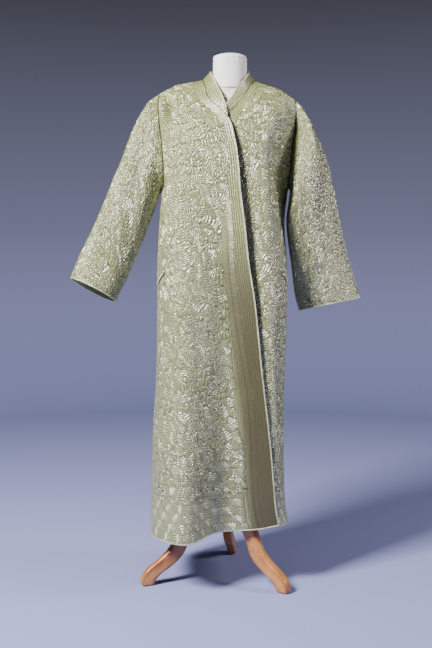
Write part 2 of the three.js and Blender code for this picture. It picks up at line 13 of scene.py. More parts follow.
import bmesh
import bpy
import numpy as np
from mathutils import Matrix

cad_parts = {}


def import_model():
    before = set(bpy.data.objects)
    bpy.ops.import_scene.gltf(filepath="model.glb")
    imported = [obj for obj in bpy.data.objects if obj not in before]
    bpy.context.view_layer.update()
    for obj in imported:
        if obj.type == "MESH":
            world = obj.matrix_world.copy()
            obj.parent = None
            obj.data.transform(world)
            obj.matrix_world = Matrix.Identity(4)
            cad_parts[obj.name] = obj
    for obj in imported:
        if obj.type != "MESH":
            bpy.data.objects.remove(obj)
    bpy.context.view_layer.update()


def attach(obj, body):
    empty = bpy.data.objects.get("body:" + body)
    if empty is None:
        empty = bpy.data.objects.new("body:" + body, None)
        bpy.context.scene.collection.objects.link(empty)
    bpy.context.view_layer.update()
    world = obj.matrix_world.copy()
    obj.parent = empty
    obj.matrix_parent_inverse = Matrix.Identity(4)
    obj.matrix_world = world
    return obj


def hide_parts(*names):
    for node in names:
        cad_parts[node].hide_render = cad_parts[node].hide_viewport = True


LOG = logging.getLogger("coat")
MM = 0.001
FRAME_ORIGIN_MM = (7.0, 25.0, 0.0)  # the tables' axis to the row's origin

# ---- Section tables, as in the part ----------------------------------------

FRONT_COLUMNS = ("edgeX edgeY flatX flatY valleyX valleyY crestX crestY turnX turnY sideX sideY "
                 "edgeZ crestZ sideZ")
RIGHT_FRONT_ROWS = (
    (-40, 2, -66, 3, -92, 4, -118, 5, -145, 6, -171, 8, 1526, 1512, 1487),
    (-34, -35, -60, -39, -88, -41, -118, -38, -149, -30, -173, -18, 1504, 1487, 1455),
    (-20, -75, -48, -83, -80, -86, -115, -80, -150, -60, -170, -32, 1460, 1432, 1400),
    (35, -118, 2, -120, -40, -119, -90, -110, -143, -84, -163, -38, 1399, 1366, 1335),
    (54, -139, 18, -135, -28, -130, -88, -122, -145, -96, -158, -34, 1335, 1300, 1266),
    (65, -147, 28, -142, -20, -136, -88, -128, -146, -101, -159, -15, 1262, 1238, 1214),
    (70, -151, 32, -145, -13, -139, -88, -134, -148, -101, -163, 5, 1190, 1190, 1190),
    (83, -153, 45, -146, 0, -137, -84, -142, -155, -98, -174, 8, 1090, 1090, 1090),
    (95, -152, 58, -145, 12, -134, -82, -154, -160, -100, -181, 8, 980, 980, 980),
    (115, -148, 75, -142, 20, -130, -84, -168, -162, -105, -181, 8, 850, 850, 850),
    (136, -141, 92, -138, 24, -126, -86, -182, -166, -115, -184, 8, 650, 650, 650),
    (162, -131, 108, -132, 22, -119, -88, -195, -175, -120, -197, 8, 430, 430, 430),
    (177, -124, 118, -126, 14, -114, -88, -203, -180, -122, -200, 8, 260, 260, 260),
    (188, -118, 126, -121, 6, -112, -88, -207, -184, -122, -204, 8, 193, 160, 158),
)
LEFT_FRONT_ROWS = (
    (116, 2, 139, 3, 163, 4, 188, 5, 213, 6, 238, 8, 1524, 1501, 1470),
    (100, -35, 124, -39, 150, -40, 178, -38, 210, -32, 241, -16, 1498, 1475, 1440),
    (74, -75, 100, -84, 134, -89, 174, -85, 208, -66, 239, -22, 1455, 1425, 1390),
    (30, -103, 62, -112, 104, -117, 158, -111, 189, -72, 232, -18, 1400, 1365, 1330),
    (10, -117, 46, -122, 88, -125, 142, -121, 170, -78, 226, -12, 1335, 1300, 1265),
    (-5, -121, 37, -125, 90, -127, 147, -123, 171, -76, 221, -2, 1262, 1240, 1218),
    (-15, -122, 33, -124, 88, -128, 151, -125, 175, -76, 219, 6, 1195, 1197, 1200),
    (-25, -121, 31, -124, 93, -128, 152, -127, 183, -88, 209, 8, 1095, 1096, 1097),
    (-32, -118, 35, -121, 100, -127, 152, -130, 200, -92, 216, 8, 982, 982, 982),
    (-40, -116, 30, -116, 120, -131, 161, -131, 203, -88, 216, 8, 850, 850, 850),
    (-48, -112, 25, -112, 140, -129, 172, -126, 200, -83, 212, 8, 650, 650, 650),
    (-55, -104, 20, -105, 165, -120, 186, -112, 202, -74, 208, 8, 430, 430, 430),
    (-58, -99, 15, -100, 180, -112, 197, -99, 208, -58, 213, 8, 260, 260, 260),
    (-60, -99, 10, -98, 191, -107, 208, -88, 219, -52, 222, 8, 186, 190, 182),
)
BACK_COLUMNS = ("rightX rightY rightTurnX rightTurnY rightFoldX rightFoldY centreX centreY "
                "leftFoldX leftFoldY leftTurnX leftTurnY leftX leftY rightZ centreZ leftZ")
BACK_ROWS = (
    (-171, 8, -105, 5, -40, 2, 42, 61, 116, 2, 177, 5, 238, 8, 1487, 1528, 1470),
    (-173, 36, -120, 50, -55, 66, 38, 84, 125, 66, 185, 50, 241, 34, 1453, 1492, 1440),
    (-172, 54, -130, 80, -62, 95, 36, 98, 130, 95, 198, 79, 242, 52, 1395, 1440, 1388),
    (-169, 58, -135, 90, -65, 108, 34, 106, 132, 108, 205, 90, 240, 57, 1330, 1372, 1328),
    (-166, 50, -138, 94, -68, 113, 32, 108, 133, 113, 206, 94, 236, 50, 1264, 1300, 1264),
    (-164, 28, -140, 94, -70, 115, 30, 108, 132, 115, 203, 94, 228, 30, 1213, 1238, 1217),
    (-163, 5, -142, 92, -70, 117, 30, 108, 130, 117, 198, 92, 219, 6, 1190, 1194, 1200),
    (-174, 8, -146, 94, -72, 120, 28, 106, 128, 121, 192, 94, 209, 8, 1090, 1093, 1097),
    (-181, 8, -150, 98, -74, 127, 26, 108, 126, 128, 194, 98, 216, 8, 980, 981, 982),
    (-181, 8, -155, 104, -78, 140, 22, 112, 124, 141, 195, 102, 216, 8, 850, 850, 850),
    (-184, 8, -160, 114, -82, 158, 18, 122, 122, 160, 192, 110, 212, 8, 650, 650, 650),
    (-197, 8, -172, 122, -88, 174, 14, 134, 118, 178, 190, 116, 208, 8, 430, 430, 430),
    (-200, 8, -178, 126, -90, 184, 12, 142, 118, 190, 192, 120, 213, 8, 260, 260, 260),
    (-204, 8, -182, 128, -92, 189, 10, 146, 118, 195, 196, 122, 222, 8, 158, 166, 182),
)
SLEEVE_COLUMNS = "outerX outerY outerZ innerX innerY innerZ front back tilt"
RIGHT_SLEEVE_ROWS = (
    (-203, 4, 1461, -172, 0, 1183, 52, 60, 0),
    (-232, 0, 1414, -184, -6, 1143, 58, 62, 0),
    (-255, -6, 1363, -200, -14, 1100, 62, 60, 0),
    (-284, -16, 1282, -221, -26, 1044, 62, 56, 0),
    (-320, -30, 1196, -244, -38, 990, 60, 54, 0),
    (-358, -44, 1106, -267, -50, 934, 58, 54, 1),
    (-403, -58, 1006, -286, -60, 890, 57, 54, 5),
    (-434, -68, 930, -298, -68, 862, 56, 54, 14),
)
LEFT_SLEEVE_ROWS = (
    (263, 6, 1443, 228, 7, 1188, 50, 58, 0),
    (289, -4, 1399, 222, -4, 1148, 58, 58, 0),
    (305, -12, 1358, 216, -18, 1105, 62, 56, 0),
    (330, -8, 1302, 219, -12, 1047, 60, 54, 0),
    (353, 4, 1213, 226, 0, 984, 56, 50, 0),
    (379, 18, 1107, 237, 14, 921, 52, 48, 0),
    (409, 34, 996, 247, 30, 869, 48, 46, 1),
    (447, 46, 868, 257, 40, 829, 48, 46, 3),
)
NECKBAND_POINTS = (
    (29, -104, 1431), (18, -80, 1467), (7, -58, 1493), (-7, -34, 1524), (-18, 0, 1549), (-9, 36, 1553),
    (42, 61, 1555), (93, 36, 1553), (101, 0, 1549), (86, -40, 1522), (61, -62, 1490), (41, -84, 1456),
    (18, -99, 1424),
)
BACK_NECKLINE_POINTS = ((-40, 2, 1526), (-26, 42, 1528), (42, 65, 1528), (105, 42, 1527), (116, 2, 1524))
TORSO_COLUMNS = "z halfWidth front back"
TORSO_ROWS = (
    (790, 150, 85, 85), (800, 165, 96, 96), (900, 172, 104, 100), (1000, 148, 92, 88),
    (1080, 130, 84, 80), (1180, 146, 98, 86), (1260, 158, 104, 90), (1340, 168, 100, 86),
    (1400, 174, 86, 78), (1436, 170, 70, 70), (1458, 156, 57, 62), (1474, 130, 49, 57),
    (1486, 92, 47, 54), (1496, 56, 48, 54),
)
LEG_OUTLINE = (
    (30.4, 288), (56, 282), (88, 260), (112, 224), (128, 194), (135, 176), (144, 150), (158, 121),
    (176, 98), (203, 76), (232, 56), (252, 36), (260, 14), (256, 2), (248, 0), (226, 0), (219, 6),
    (214, 16), (198, 32), (168, 50), (141, 70), (122, 92), (111, 118), (99, 146), (84, 168),
    (66, 190), (50, 202), (30.4, 206),
)
LEG_ANGLES = {"left": 320.7, "right": 200.7, "back": 80.7}

ARMHOLE_STEPS, SKIRT_STEPS, SLEEVE_STEPS = 10, 14, 13
UNDERARM_ROW, HEM_ROW = 6, 13
NECKLINE_ROWS = 5
BACK_SHOULDER_SHARE = 0.3  # of the back's top row, on each side of the neckline
WALL = 3.6  # quilted cloth's thickness
SEAM_GAP = 0.4
NECK_X, STAND_X, TORSO_X = 42.0, 15.0, 30.0
CLOTH_CORE, CLOTH_REACH = (22.0, 0.0, 1385.0), (220.0, 120.0, 100.0)  # the walls' thickness points from here
BODY_MIDDLE, NECK_MIDDLE = (22.0, 0.0, 800.0), (NECK_X, 0.0, 1500.0)
CURVE_STEPS = 40  # samples of a curve's span


# ---- Curves and surfaces ----------------------------------------------------

def hermite(t: float | np.ndarray, start: float | np.ndarray, leave: float | np.ndarray,
            end: float | np.ndarray, arrive: float | np.ndarray) -> float | np.ndarray:
    """A cubic from start to end, with its slopes as it leaves and arrives, at t from 0 to 1."""
    t2, t3 = t * t, t * t * t
    return ((2 * t3 - 3 * t2 + 1) * start + (t3 - 2 * t2 + t) * leave
            + (3 * t2 - 2 * t3) * end + (t3 - t2) * arrive)


def centripetal(points: np.ndarray, count: int) -> np.ndarray:
    """A centripetal Catmull-Rom curve through points, as the part's walls use.

    Args:
        points: (n, 3) stations.
        count: how many samples a span gets.

    Returns:
        ((n - 1) * count + 1, 3) points, even in the curve's own parameter.
    """
    first, last = 2 * points[0] - points[1], 2 * points[-1] - points[-2]
    padded = np.vstack([first, points, last])
    t = np.linspace(0, 1, count, endpoint=False)[:, None]
    out = []
    for i in range(len(points) - 1):
        p0, p1, p2, p3 = padded[i:i + 4]
        d0, d1, d2 = (max(float(np.linalg.norm(b - a)) ** 0.5, 1e-4) for a, b in ((p0, p1), (p1, p2), (p2, p3)))
        m1 = ((p1 - p0) / d0 - (p2 - p0) / (d0 + d1) + (p2 - p1) / d1) * d1
        m2 = ((p2 - p1) / d1 - (p3 - p1) / (d1 + d2) + (p3 - p2) / d2) * d1
        out.append(hermite(t, p1, m1, p2, m2))
    return np.vstack([*out, points[-1:]])


def spaced(curve: np.ndarray, shares: np.ndarray) -> np.ndarray:
    """Points of a curve at these shares of its length."""
    steps = np.linalg.norm(np.diff(curve, axis=0), axis=1)
    along = np.concatenate([[0], np.cumsum(steps)])
    at = shares * along[-1]
    return np.stack([np.interp(at, along, curve[:, i]) for i in range(3)], axis=1)


def length_of(curve: np.ndarray) -> float:
    """A polyline's length."""
    return float(np.linalg.norm(np.diff(curve, axis=0), axis=1).sum())


def smooth_step(value: np.ndarray | float, low: float, high: float) -> np.ndarray:
    """0 below low, 1 above high and a smooth rise between."""
    t = np.clip((np.asarray(value, dtype=float) - low) / (high - low), 0, 1)
    return t * t * (3 - 2 * t)


class Table:
    """A section table, read between its rows by a smooth curve down each column."""

    def __init__(self, columns: str, rows: Sequence[Sequence[float]]) -> None:
        self.values = np.array(rows, dtype=float)
        self.places = {name: i for i, name in enumerate(columns.split())}

    def at(self, name: str, row: float) -> float:
        """A column's value at a fractional row."""
        column = self.values[:, self.places[name]]
        last = len(column) - 1
        i = min(int(row), last - 1)
        a, b = column[i], column[i + 1]
        before = column[i - 1] if i > 0 else 2 * a - b
        after = column[i + 2] if i + 2 <= last else 2 * b - a
        return float(hermite(row - i, a, (b - before) / 2, b, (after - a) / 2))

    def point(self, name: str, row: float, z: float) -> list[float]:
        """The named station's X and Y at a fractional row, at height z."""
        return [self.at(f"{name}X", row), self.at(f"{name}Y", row), z]


def table_row(k: float) -> float:
    """Mesh row of the part to table row: the armhole part first, then the skirt."""
    if k <= ARMHOLE_STEPS:
        return k / ARMHOLE_STEPS * UNDERARM_ROW
    return UNDERARM_ROW + (k - ARMHOLE_STEPS) / SKIRT_STEPS * (HEM_ROW - UNDERARM_ROW)


class Front:
    """A front panel of the coat, from its free edge to the armhole and side seam."""

    STATIONS = ("edge", "flat", "valley", "crest", "turn", "side")
    CREST = 0.6  # the crest's share of the way along the stations

    def __init__(self, table: Table) -> None:
        self.table = table

    def curve(self, k: float) -> np.ndarray:
        """The cross-section at mesh row k."""
        row = table_row(k)
        edge, crest, side = (self.table.at(f"{name}Z", row) for name in ("edge", "crest", "side"))
        points = []
        for i, name in enumerate(self.STATIONS):
            t = i / (len(self.STATIONS) - 1)
            z = edge + (crest - edge) * t / self.CREST
            if t >= self.CREST:
                z = crest + (side - crest) * (t - self.CREST) / (1 - self.CREST)
            points.append(self.table.point(name, row, z))
        return centripetal(np.array(points), CURVE_STEPS)

    def row(self, k: float, shares: np.ndarray) -> np.ndarray:
        """Points of mesh row k at these shares of its length."""
        return spaced(self.curve(k), shares)

    def side(self, k: float) -> np.ndarray:
        """The armhole's or side seam's point at mesh row k."""
        return self.curve(k)[-1]


class Back:
    """The coat's back, from the right armhole and side seam to the left."""

    STATIONS = ("right", "rightTurn", "rightFold", "centre", "leftFold", "leftTurn", "left")
    SEAM_SHARE = 0.08  # of the width, eased to meet each front at the side seam

    def __init__(self, table: Table, right: Front, left: Front) -> None:
        self.table = table
        self.right = right
        self.left = left
        self.neckline = centripetal(np.array(BACK_NECKLINE_POINTS, dtype=float), 60)

    def curve(self, k: float) -> np.ndarray:
        """The cross-section at mesh row k, before the seams are shared."""
        row = table_row(k)
        right, centre, left = (self.table.at(f"{name}Z", row) for name in ("right", "centre", "left"))
        rise = max(1 - row, 0)
        points = []
        for i, name in enumerate(self.STATIONS):
            t = i / (len(self.STATIONS) - 1)
            side = right if t < 0.5 else left
            share = 1 - abs(2 * t - 1)
            level = side + (centre - side) * math.sqrt(share)
            straight = side + (centre - side) * min(1, share * 1.5)
            points.append(self.table.point(name, row, level + (straight - level) * rise))
        return centripetal(np.array(points), CURVE_STEPS)

    def top(self, shares: np.ndarray) -> np.ndarray:
        """The right shoulder seam, the neckline and the left shoulder seam, as one row."""
        corner = BACK_SHOULDER_SHARE
        right = self.right.row(0, np.clip(1 - shares / corner, 0, 1))
        middle = spaced(self.neckline, np.clip((shares - corner) / (1 - 2 * corner), 0, 1))
        left = self.left.row(0, np.clip((shares - 1 + corner) / corner, 0, 1))
        place = shares[:, None]
        return np.where(place < corner, right, np.where(place > 1 - corner, left, middle))

    def row(self, k: float, shares: np.ndarray) -> np.ndarray:
        """Points of mesh row k at these shares of its length."""
        if k < 1:
            top, first, second = self.top(shares), self.row(1, shares), self.row(2, shares)
            return hermite(k, top, first - top, first, (second - top) / 2)
        points = spaced(self.curve(k), shares)
        if k >= ARMHOLE_STEPS - 1:
            share = min(1.0, k - ARMHOLE_STEPS + 1)
            near_right = smooth_step(1 - shares / self.SEAM_SHARE, 0, 1)[:, None] * share
            near_left = smooth_step(1 - (1 - shares) / self.SEAM_SHARE, 0, 1)[:, None] * share
            points = points + near_right * (self.right.side(k) - points[0])
            points = points + near_left * (self.left.side(k) - points[-1])
        return points

    def side(self, k: float, left: bool) -> np.ndarray:
        """The armhole's or side seam's point at mesh row k."""
        return self.row(k, np.array([0.0, 1.0]))[1 if left else 0]


class Sleeve:
    """A wide hanging sleeve: its armhole ring, then the sections of its table."""

    BULGE = 0.8  # power of the sine round a section: under 1 is fuller than an ellipse

    def __init__(self, table: Table, front: Front, back: Back, left: bool) -> None:
        self.table = table
        self.front = front
        self.back = back
        self.left = left

    def armhole(self, shares: np.ndarray) -> np.ndarray:
        """The armhole: down the front from the shoulder tip to the underarm, then up the back."""
        points = []
        for share in shares:
            k = share * 2 * ARMHOLE_STEPS
            if k <= ARMHOLE_STEPS:
                points.append(self.front.side(k))
            else:
                points.append(self.back.side(2 * ARMHOLE_STEPS - k, self.left))
        return np.array(points)

    def ring(self, k: float, shares: np.ndarray) -> np.ndarray:
        """The section of mesh row k (1 or more)."""
        row = (k - 1) / (SLEEVE_STEPS - 1) * (len(self.table.values) - 1)
        outer, inner = (np.array([self.table.at(f"{end}{axis}", row) for axis in "XYZ"])
                        for end in ("outer", "inner"))
        centre, half = (outer + inner) / 2, (outer - inner) / 2
        angle = shares * 2 * np.pi
        points = centre + np.cos(angle)[:, None] * half
        sine = np.sin(angle)
        depth = np.where(sine > 0, self.table.at("front", row), self.table.at("back", row))
        points[:, 1] -= np.sign(sine) * np.abs(sine) ** self.BULGE * depth
        points[:, 2] += sine * self.table.at("tilt", row)
        return points

    def row(self, k: float, shares: np.ndarray) -> np.ndarray:
        """Points of mesh row k at these shares of the way round."""
        if k >= 1:
            return self.ring(k, shares)
        start, first, second = self.armhole(shares), self.ring(1, shares), self.ring(2, shares)
        return hermite(k, start, first - start, first, (second - start) / 2)


class Neckband:
    """The narrow band sewn round the neckline, from its free edge down to the seam."""

    def __init__(self, right: Front, back: Back, left: Front) -> None:
        self.right = right
        self.back = back
        self.left = left
        self.free_edge = centripetal(np.array(NECKBAND_POINTS, dtype=float), CURVE_STEPS)

    def seam(self, share: float) -> np.ndarray:
        """The neckline's point at this share of the band's length."""
        place = share * 3
        if place <= 1:
            return self.right.row(NECKLINE_ROWS * (1 - place), np.array([0.0]))[0]
        if place < 2:
            at = BACK_SHOULDER_SHARE + (1 - 2 * BACK_SHOULDER_SHARE) * (place - 1)
            return self.back.top(np.array([at]))[0]
        return self.left.row(NECKLINE_ROWS * (place - 2), np.array([0.0]))[0]

    def row(self, share: float, heights: np.ndarray) -> np.ndarray:
        """Points from the free edge (height 0) to the seam (height 1)."""
        high = self.free_edge[int(round(share * (len(self.free_edge) - 1)))]
        seam = self.seam(share)
        rise = high - seam
        low = seam + rise / np.linalg.norm(rise) * SEAM_GAP
        return high + (low - high) * heights[:, None]


# ---- Quilting ---------------------------------------------------------------

def hashed(i: np.ndarray, j: np.ndarray, salt: int) -> np.ndarray:
    """A fixed value from 0 to 1 for each lattice cell, the same on every run."""
    mixed = np.sin(i * 127.1 + j * 311.7 + salt * 74.7) * 43758.5453
    return mixed - np.floor(mixed)


def cloud(x: np.ndarray, y: np.ndarray, salt: int) -> np.ndarray:
    """Smooth noise from -1 to 1 with features about one unit across."""
    i, j = np.floor(x), np.floor(y)
    u, v = x - i, y - j
    u, v = u * u * (3 - 2 * u), v * v * (3 - 2 * v)
    low = hashed(i, j, salt) * (1 - u) + hashed(i + 1, j, salt) * u
    high = hashed(i, j + 1, salt) * (1 - u) + hashed(i + 1, j + 1, salt) * u
    return (low * (1 - v) + high * v) * 2 - 1


def channels(phase: np.ndarray) -> np.ndarray:
    """Puffed channels between stitched lines: 0 where the phase is whole and 1 halfway between."""
    return np.abs(np.sin(np.pi * phase)) ** 1.15


@dataclass(frozen=True)
class Quilting:
    """Leaf and flower quilting over wadding, in cloth millimetres.

    Close-set motifs lie in staggered cells: most are fern leaves with slanting veins either side of a
    stem, and the others are rosettes of petals. Such stitching is 3 to 5 mm apart; it is drawn a little
    coarser, so that it shows.

    Fields:
        salt: picks the random values.
        pitch: from one motif to the next.
        vein: from one stitched vein to the next.
        petals: how many a rosette has.
        button: the radius of a rosette's middle.
        clamshell: height of a row of arcs over the hem.
        arc: from one arc to the next.
    """

    salt: int
    pitch: float = 28.0
    vein: float = 6.6
    petals: int = 8
    button: float = 3.6
    clamshell: float = 27.0
    arc: float = 6.2

    def nearest(self, s: np.ndarray, t: np.ndarray) -> tuple[np.ndarray, ...]:
        """The nearest motif's offset, its two random values, and the distance to its outline."""
        row_pitch = self.pitch * 1.12  # the cells are a little taller than wide
        j0 = np.round(t / row_pitch)
        found = []
        for dj in (-1, 0, 1):
            j = j0 + dj
            stagger = np.where(np.mod(j, 2) == 0, 0.0, 0.5)
            i0 = np.round(s / self.pitch - stagger)
            for di in (-1, 0, 1):
                i = i0 + di
                x = (i + stagger + 0.5 * (hashed(i, j, self.salt) - 0.5)) * self.pitch
                y = (j + 0.5 * (hashed(i, j, self.salt + 1) - 0.5)) * row_pitch
                found.append((s - x, t - y, hashed(i, j, self.salt + 2), hashed(i, j, self.salt + 3)))
        dx, dy, kind, tilt = (np.stack([f[n] for f in found]) for n in range(4))
        distance = np.hypot(dx, dy * 0.8)
        order = np.argsort(distance, axis=0)
        first, second = order[0:1], order[1:2]
        pick = lambda values, which: np.take_along_axis(values, which, axis=0)[0]
        gap = np.hypot(pick(dx, first) - pick(dx, second), pick(dy, first) - pick(dy, second))
        gap = np.maximum(gap, 1e-6)
        outline = (pick(distance, second) ** 2 - pick(distance, first) ** 2) / (2 * gap)
        return pick(dx, first), pick(dy, first), pick(kind, first), pick(tilt, first), outline

    def field(self, s: np.ndarray, t: np.ndarray) -> tuple[np.ndarray, np.ndarray]:
        """The main quilting.

        Returns:
            The puff allowed at each point (0 on a motif's outline, up to 1) and the veins' phase, a whole
            number on each stitched vein.
        """
        s = s + 9 * cloud(s / 41, t / 47, self.salt + 5)
        t = t + 9 * cloud(s / 43, t / 39, self.salt + 6)
        x, y, kind, tilt, outline = self.nearest(s, t)
        turn = (tilt - 0.5) * 1.9  # radians, either way
        along = y * np.cos(turn) + x * np.sin(turn)
        across = x * np.cos(turn) - y * np.sin(turn)
        bend = across + along ** 2 * 0.02 * np.sign(kind - 0.35)
        leaf = 0.2 + 0.8 * smooth_step(np.abs(bend), 0, 3)
        radius = np.hypot(x, y)
        angle = np.arctan2(y, x)
        joint = np.where(x < 0, np.abs(y), 99.0)
        petal = smooth_step(joint, 1.5, 4.5) * smooth_step(radius, self.button, self.button + 3)
        bud = np.sqrt(np.clip(1 - (radius / self.button) ** 2, 0, 1))
        is_flower, is_bud = kind > 0.7, radius < self.button  # three motifs in ten are rosettes
        phase = np.where(is_bud, 0.5, angle * self.petals / (2 * np.pi) + 0.5)
        phase = np.where(is_flower, phase, (along + 0.5 * np.abs(bend)) / self.vein)
        allowed = np.where(is_flower, np.where(is_bud, bud, petal), leaf)
        phase = phase + 0.3 * cloud(s / 11, t / 11, self.salt + 8)
        return (0.22 + 0.78 * allowed) * (0.66 + 0.34 * smooth_step(outline, 0, 3)), phase

    def hem_field(self, s: np.ndarray, up: np.ndarray) -> tuple[np.ndarray, np.ndarray]:
        """Clamshell arcs over a border, with up the distance from the edge."""
        tall = self.clamshell
        row = np.floor(up / tall)
        centre = (np.floor(s / (2 * tall) + 0.5 * np.mod(row, 2)) + 0.5 - 0.5 * np.mod(row, 2)) * 2 * tall
        radius = np.hypot(s - centre, up - row * tall)
        phase = (radius + 4 * cloud(s / 30, up / 30, self.salt)) / self.arc
        return 0.7 * (0.6 + 0.4 * smooth_step(up - row * tall, 0, 3)), phase

    def edge_field(self, s: np.ndarray, t: np.ndarray) -> tuple[np.ndarray, np.ndarray]:
        """Slanting leaf veins between straight lines along a front edge."""
        middle, half, leaf_vein, line = 58, 17, 8.0, 6.5
        side = s - middle - 7 * np.sin(t / 90)
        inside = np.abs(side) < half
        phase = np.where(inside, (t + np.abs(side) * 1.3) / leaf_vein, s / line)
        phase = phase + 0.25 * cloud(s / 13, t / 17, self.salt)
        stem = np.where(inside, smooth_step(np.abs(side), 0, 2.5), 1)
        return (0.8 + 0.2 * smooth_step(np.abs(np.abs(side) - half), 0, 3)) * (0.4 + 0.6 * stem), phase


def joined(first: tuple, second: tuple, share: np.ndarray) -> tuple[np.ndarray, np.ndarray]:
    """Two fields of quilting, the second where share is over a half, with a faint stitched line between."""
    pick = share > 0.5
    gap = 0.75 + 0.25 * smooth_step(np.abs(share - 0.5), 0, 0.45)
    return np.where(pick, second[0], first[0]) * gap, np.where(pick, second[1], first[1])


@dataclass(frozen=True)
class Crease:
    """One ridge (height over 0) or valley pressed along a path of wearer's-frame X and Z, in millimetres."""

    path: tuple[tuple[float, float], ...]
    height: float
    width: float

    def lift(self, x: np.ndarray, z: np.ndarray) -> np.ndarray:
        """The displacement it makes at each point."""
        nearest = np.full(x.shape, 1e9)
        fade = np.zeros(x.shape)
        total = len(self.path) - 1
        for n in range(total):
            (ax, az), (bx, bz) = self.path[n], self.path[n + 1]
            dx, dz = bx - ax, bz - az
            t = np.clip(((x - ax) * dx + (z - az) * dz) / (dx * dx + dz * dz), 0, 1)
            distance = np.hypot(x - ax - t * dx, z - az - t * dz)
            closer = distance < nearest
            nearest = np.where(closer, distance, nearest)
            place = (n + t) / total
            fade = np.where(closer, np.sin(np.pi * (0.12 + 0.76 * place)), fade)
        return self.height * fade * np.exp(-(nearest / self.width) ** 2)


# ---- Cloth walls ------------------------------------------------------------

@dataclass
class Sheet:
    """The outer side of a cloth piece as a grid of points, with each point's place on the flat cloth.

    Fields:
        points: (rows, columns, 3), wearer's frame, in millimetres.
        s: distance across the cloth from its first column.
        t: distance down the cloth from its first row.
    """

    points: np.ndarray
    s: np.ndarray
    t: np.ndarray

    @classmethod
    def of(cls, row: Callable[[float, np.ndarray], np.ndarray], levels: np.ndarray, columns: int) -> "Sheet":
        """Reads a surface at these mesh rows and this many columns."""
        shares = np.linspace(0, 1, columns + 1)
        points = np.stack([row(float(k), shares) for k in levels])
        across = np.linalg.norm(np.diff(points, axis=1), axis=2)
        s = np.concatenate([np.zeros((len(levels), 1)), np.cumsum(across, axis=1)], axis=1)
        down = np.linalg.norm(np.diff(points, axis=0), axis=2).mean(axis=1)
        t = np.concatenate([[0], np.cumsum(down)])[:, None] * np.ones_like(s)
        return cls(points, s, t)

    @property
    def width(self) -> np.ndarray:
        """Each row's whole width."""
        return self.s[:, -1:]

    @property
    def length(self) -> float:
        """The cloth's length down its rows."""
        return float(self.t[-1, 0])

    def normals(self, closed: bool, away_from: np.ndarray) -> np.ndarray:
        """Unit normals, on the side that points away from away_from (one point a row, or one in all)."""
        points = self.points
        if closed:
            wrapped = np.concatenate([points[:, -2:-1], points, points[:, 1:2]], axis=1)
            across = (wrapped[:, 2:] - wrapped[:, :-2])
        else:
            across = np.gradient(points, axis=1)
        normal = np.cross(across, np.gradient(points, axis=0))
        normal /= np.maximum(np.linalg.norm(normal, axis=2, keepdims=True), 1e-9)
        outward = ((points - away_from) * normal).sum(axis=2, keepdims=True)
        return normal * (np.sign(outward.sum()) or 1.0)


def body_outward(points: np.ndarray) -> np.ndarray:
    """The direction in which every body panel has its thickness, as in the part."""
    direction = points - np.array(CLOTH_CORE)
    direction[..., 2] = np.maximum(direction[..., 2], 0)
    direction = direction / np.array(CLOTH_REACH) ** 2
    return direction / np.linalg.norm(direction, axis=-1, keepdims=True)


def to_row_frame(points: np.ndarray) -> np.ndarray:
    """Wearer's-frame millimetres to the row's frame in metres."""
    return (points - np.array(FRAME_ORIGIN_MM)) * MM


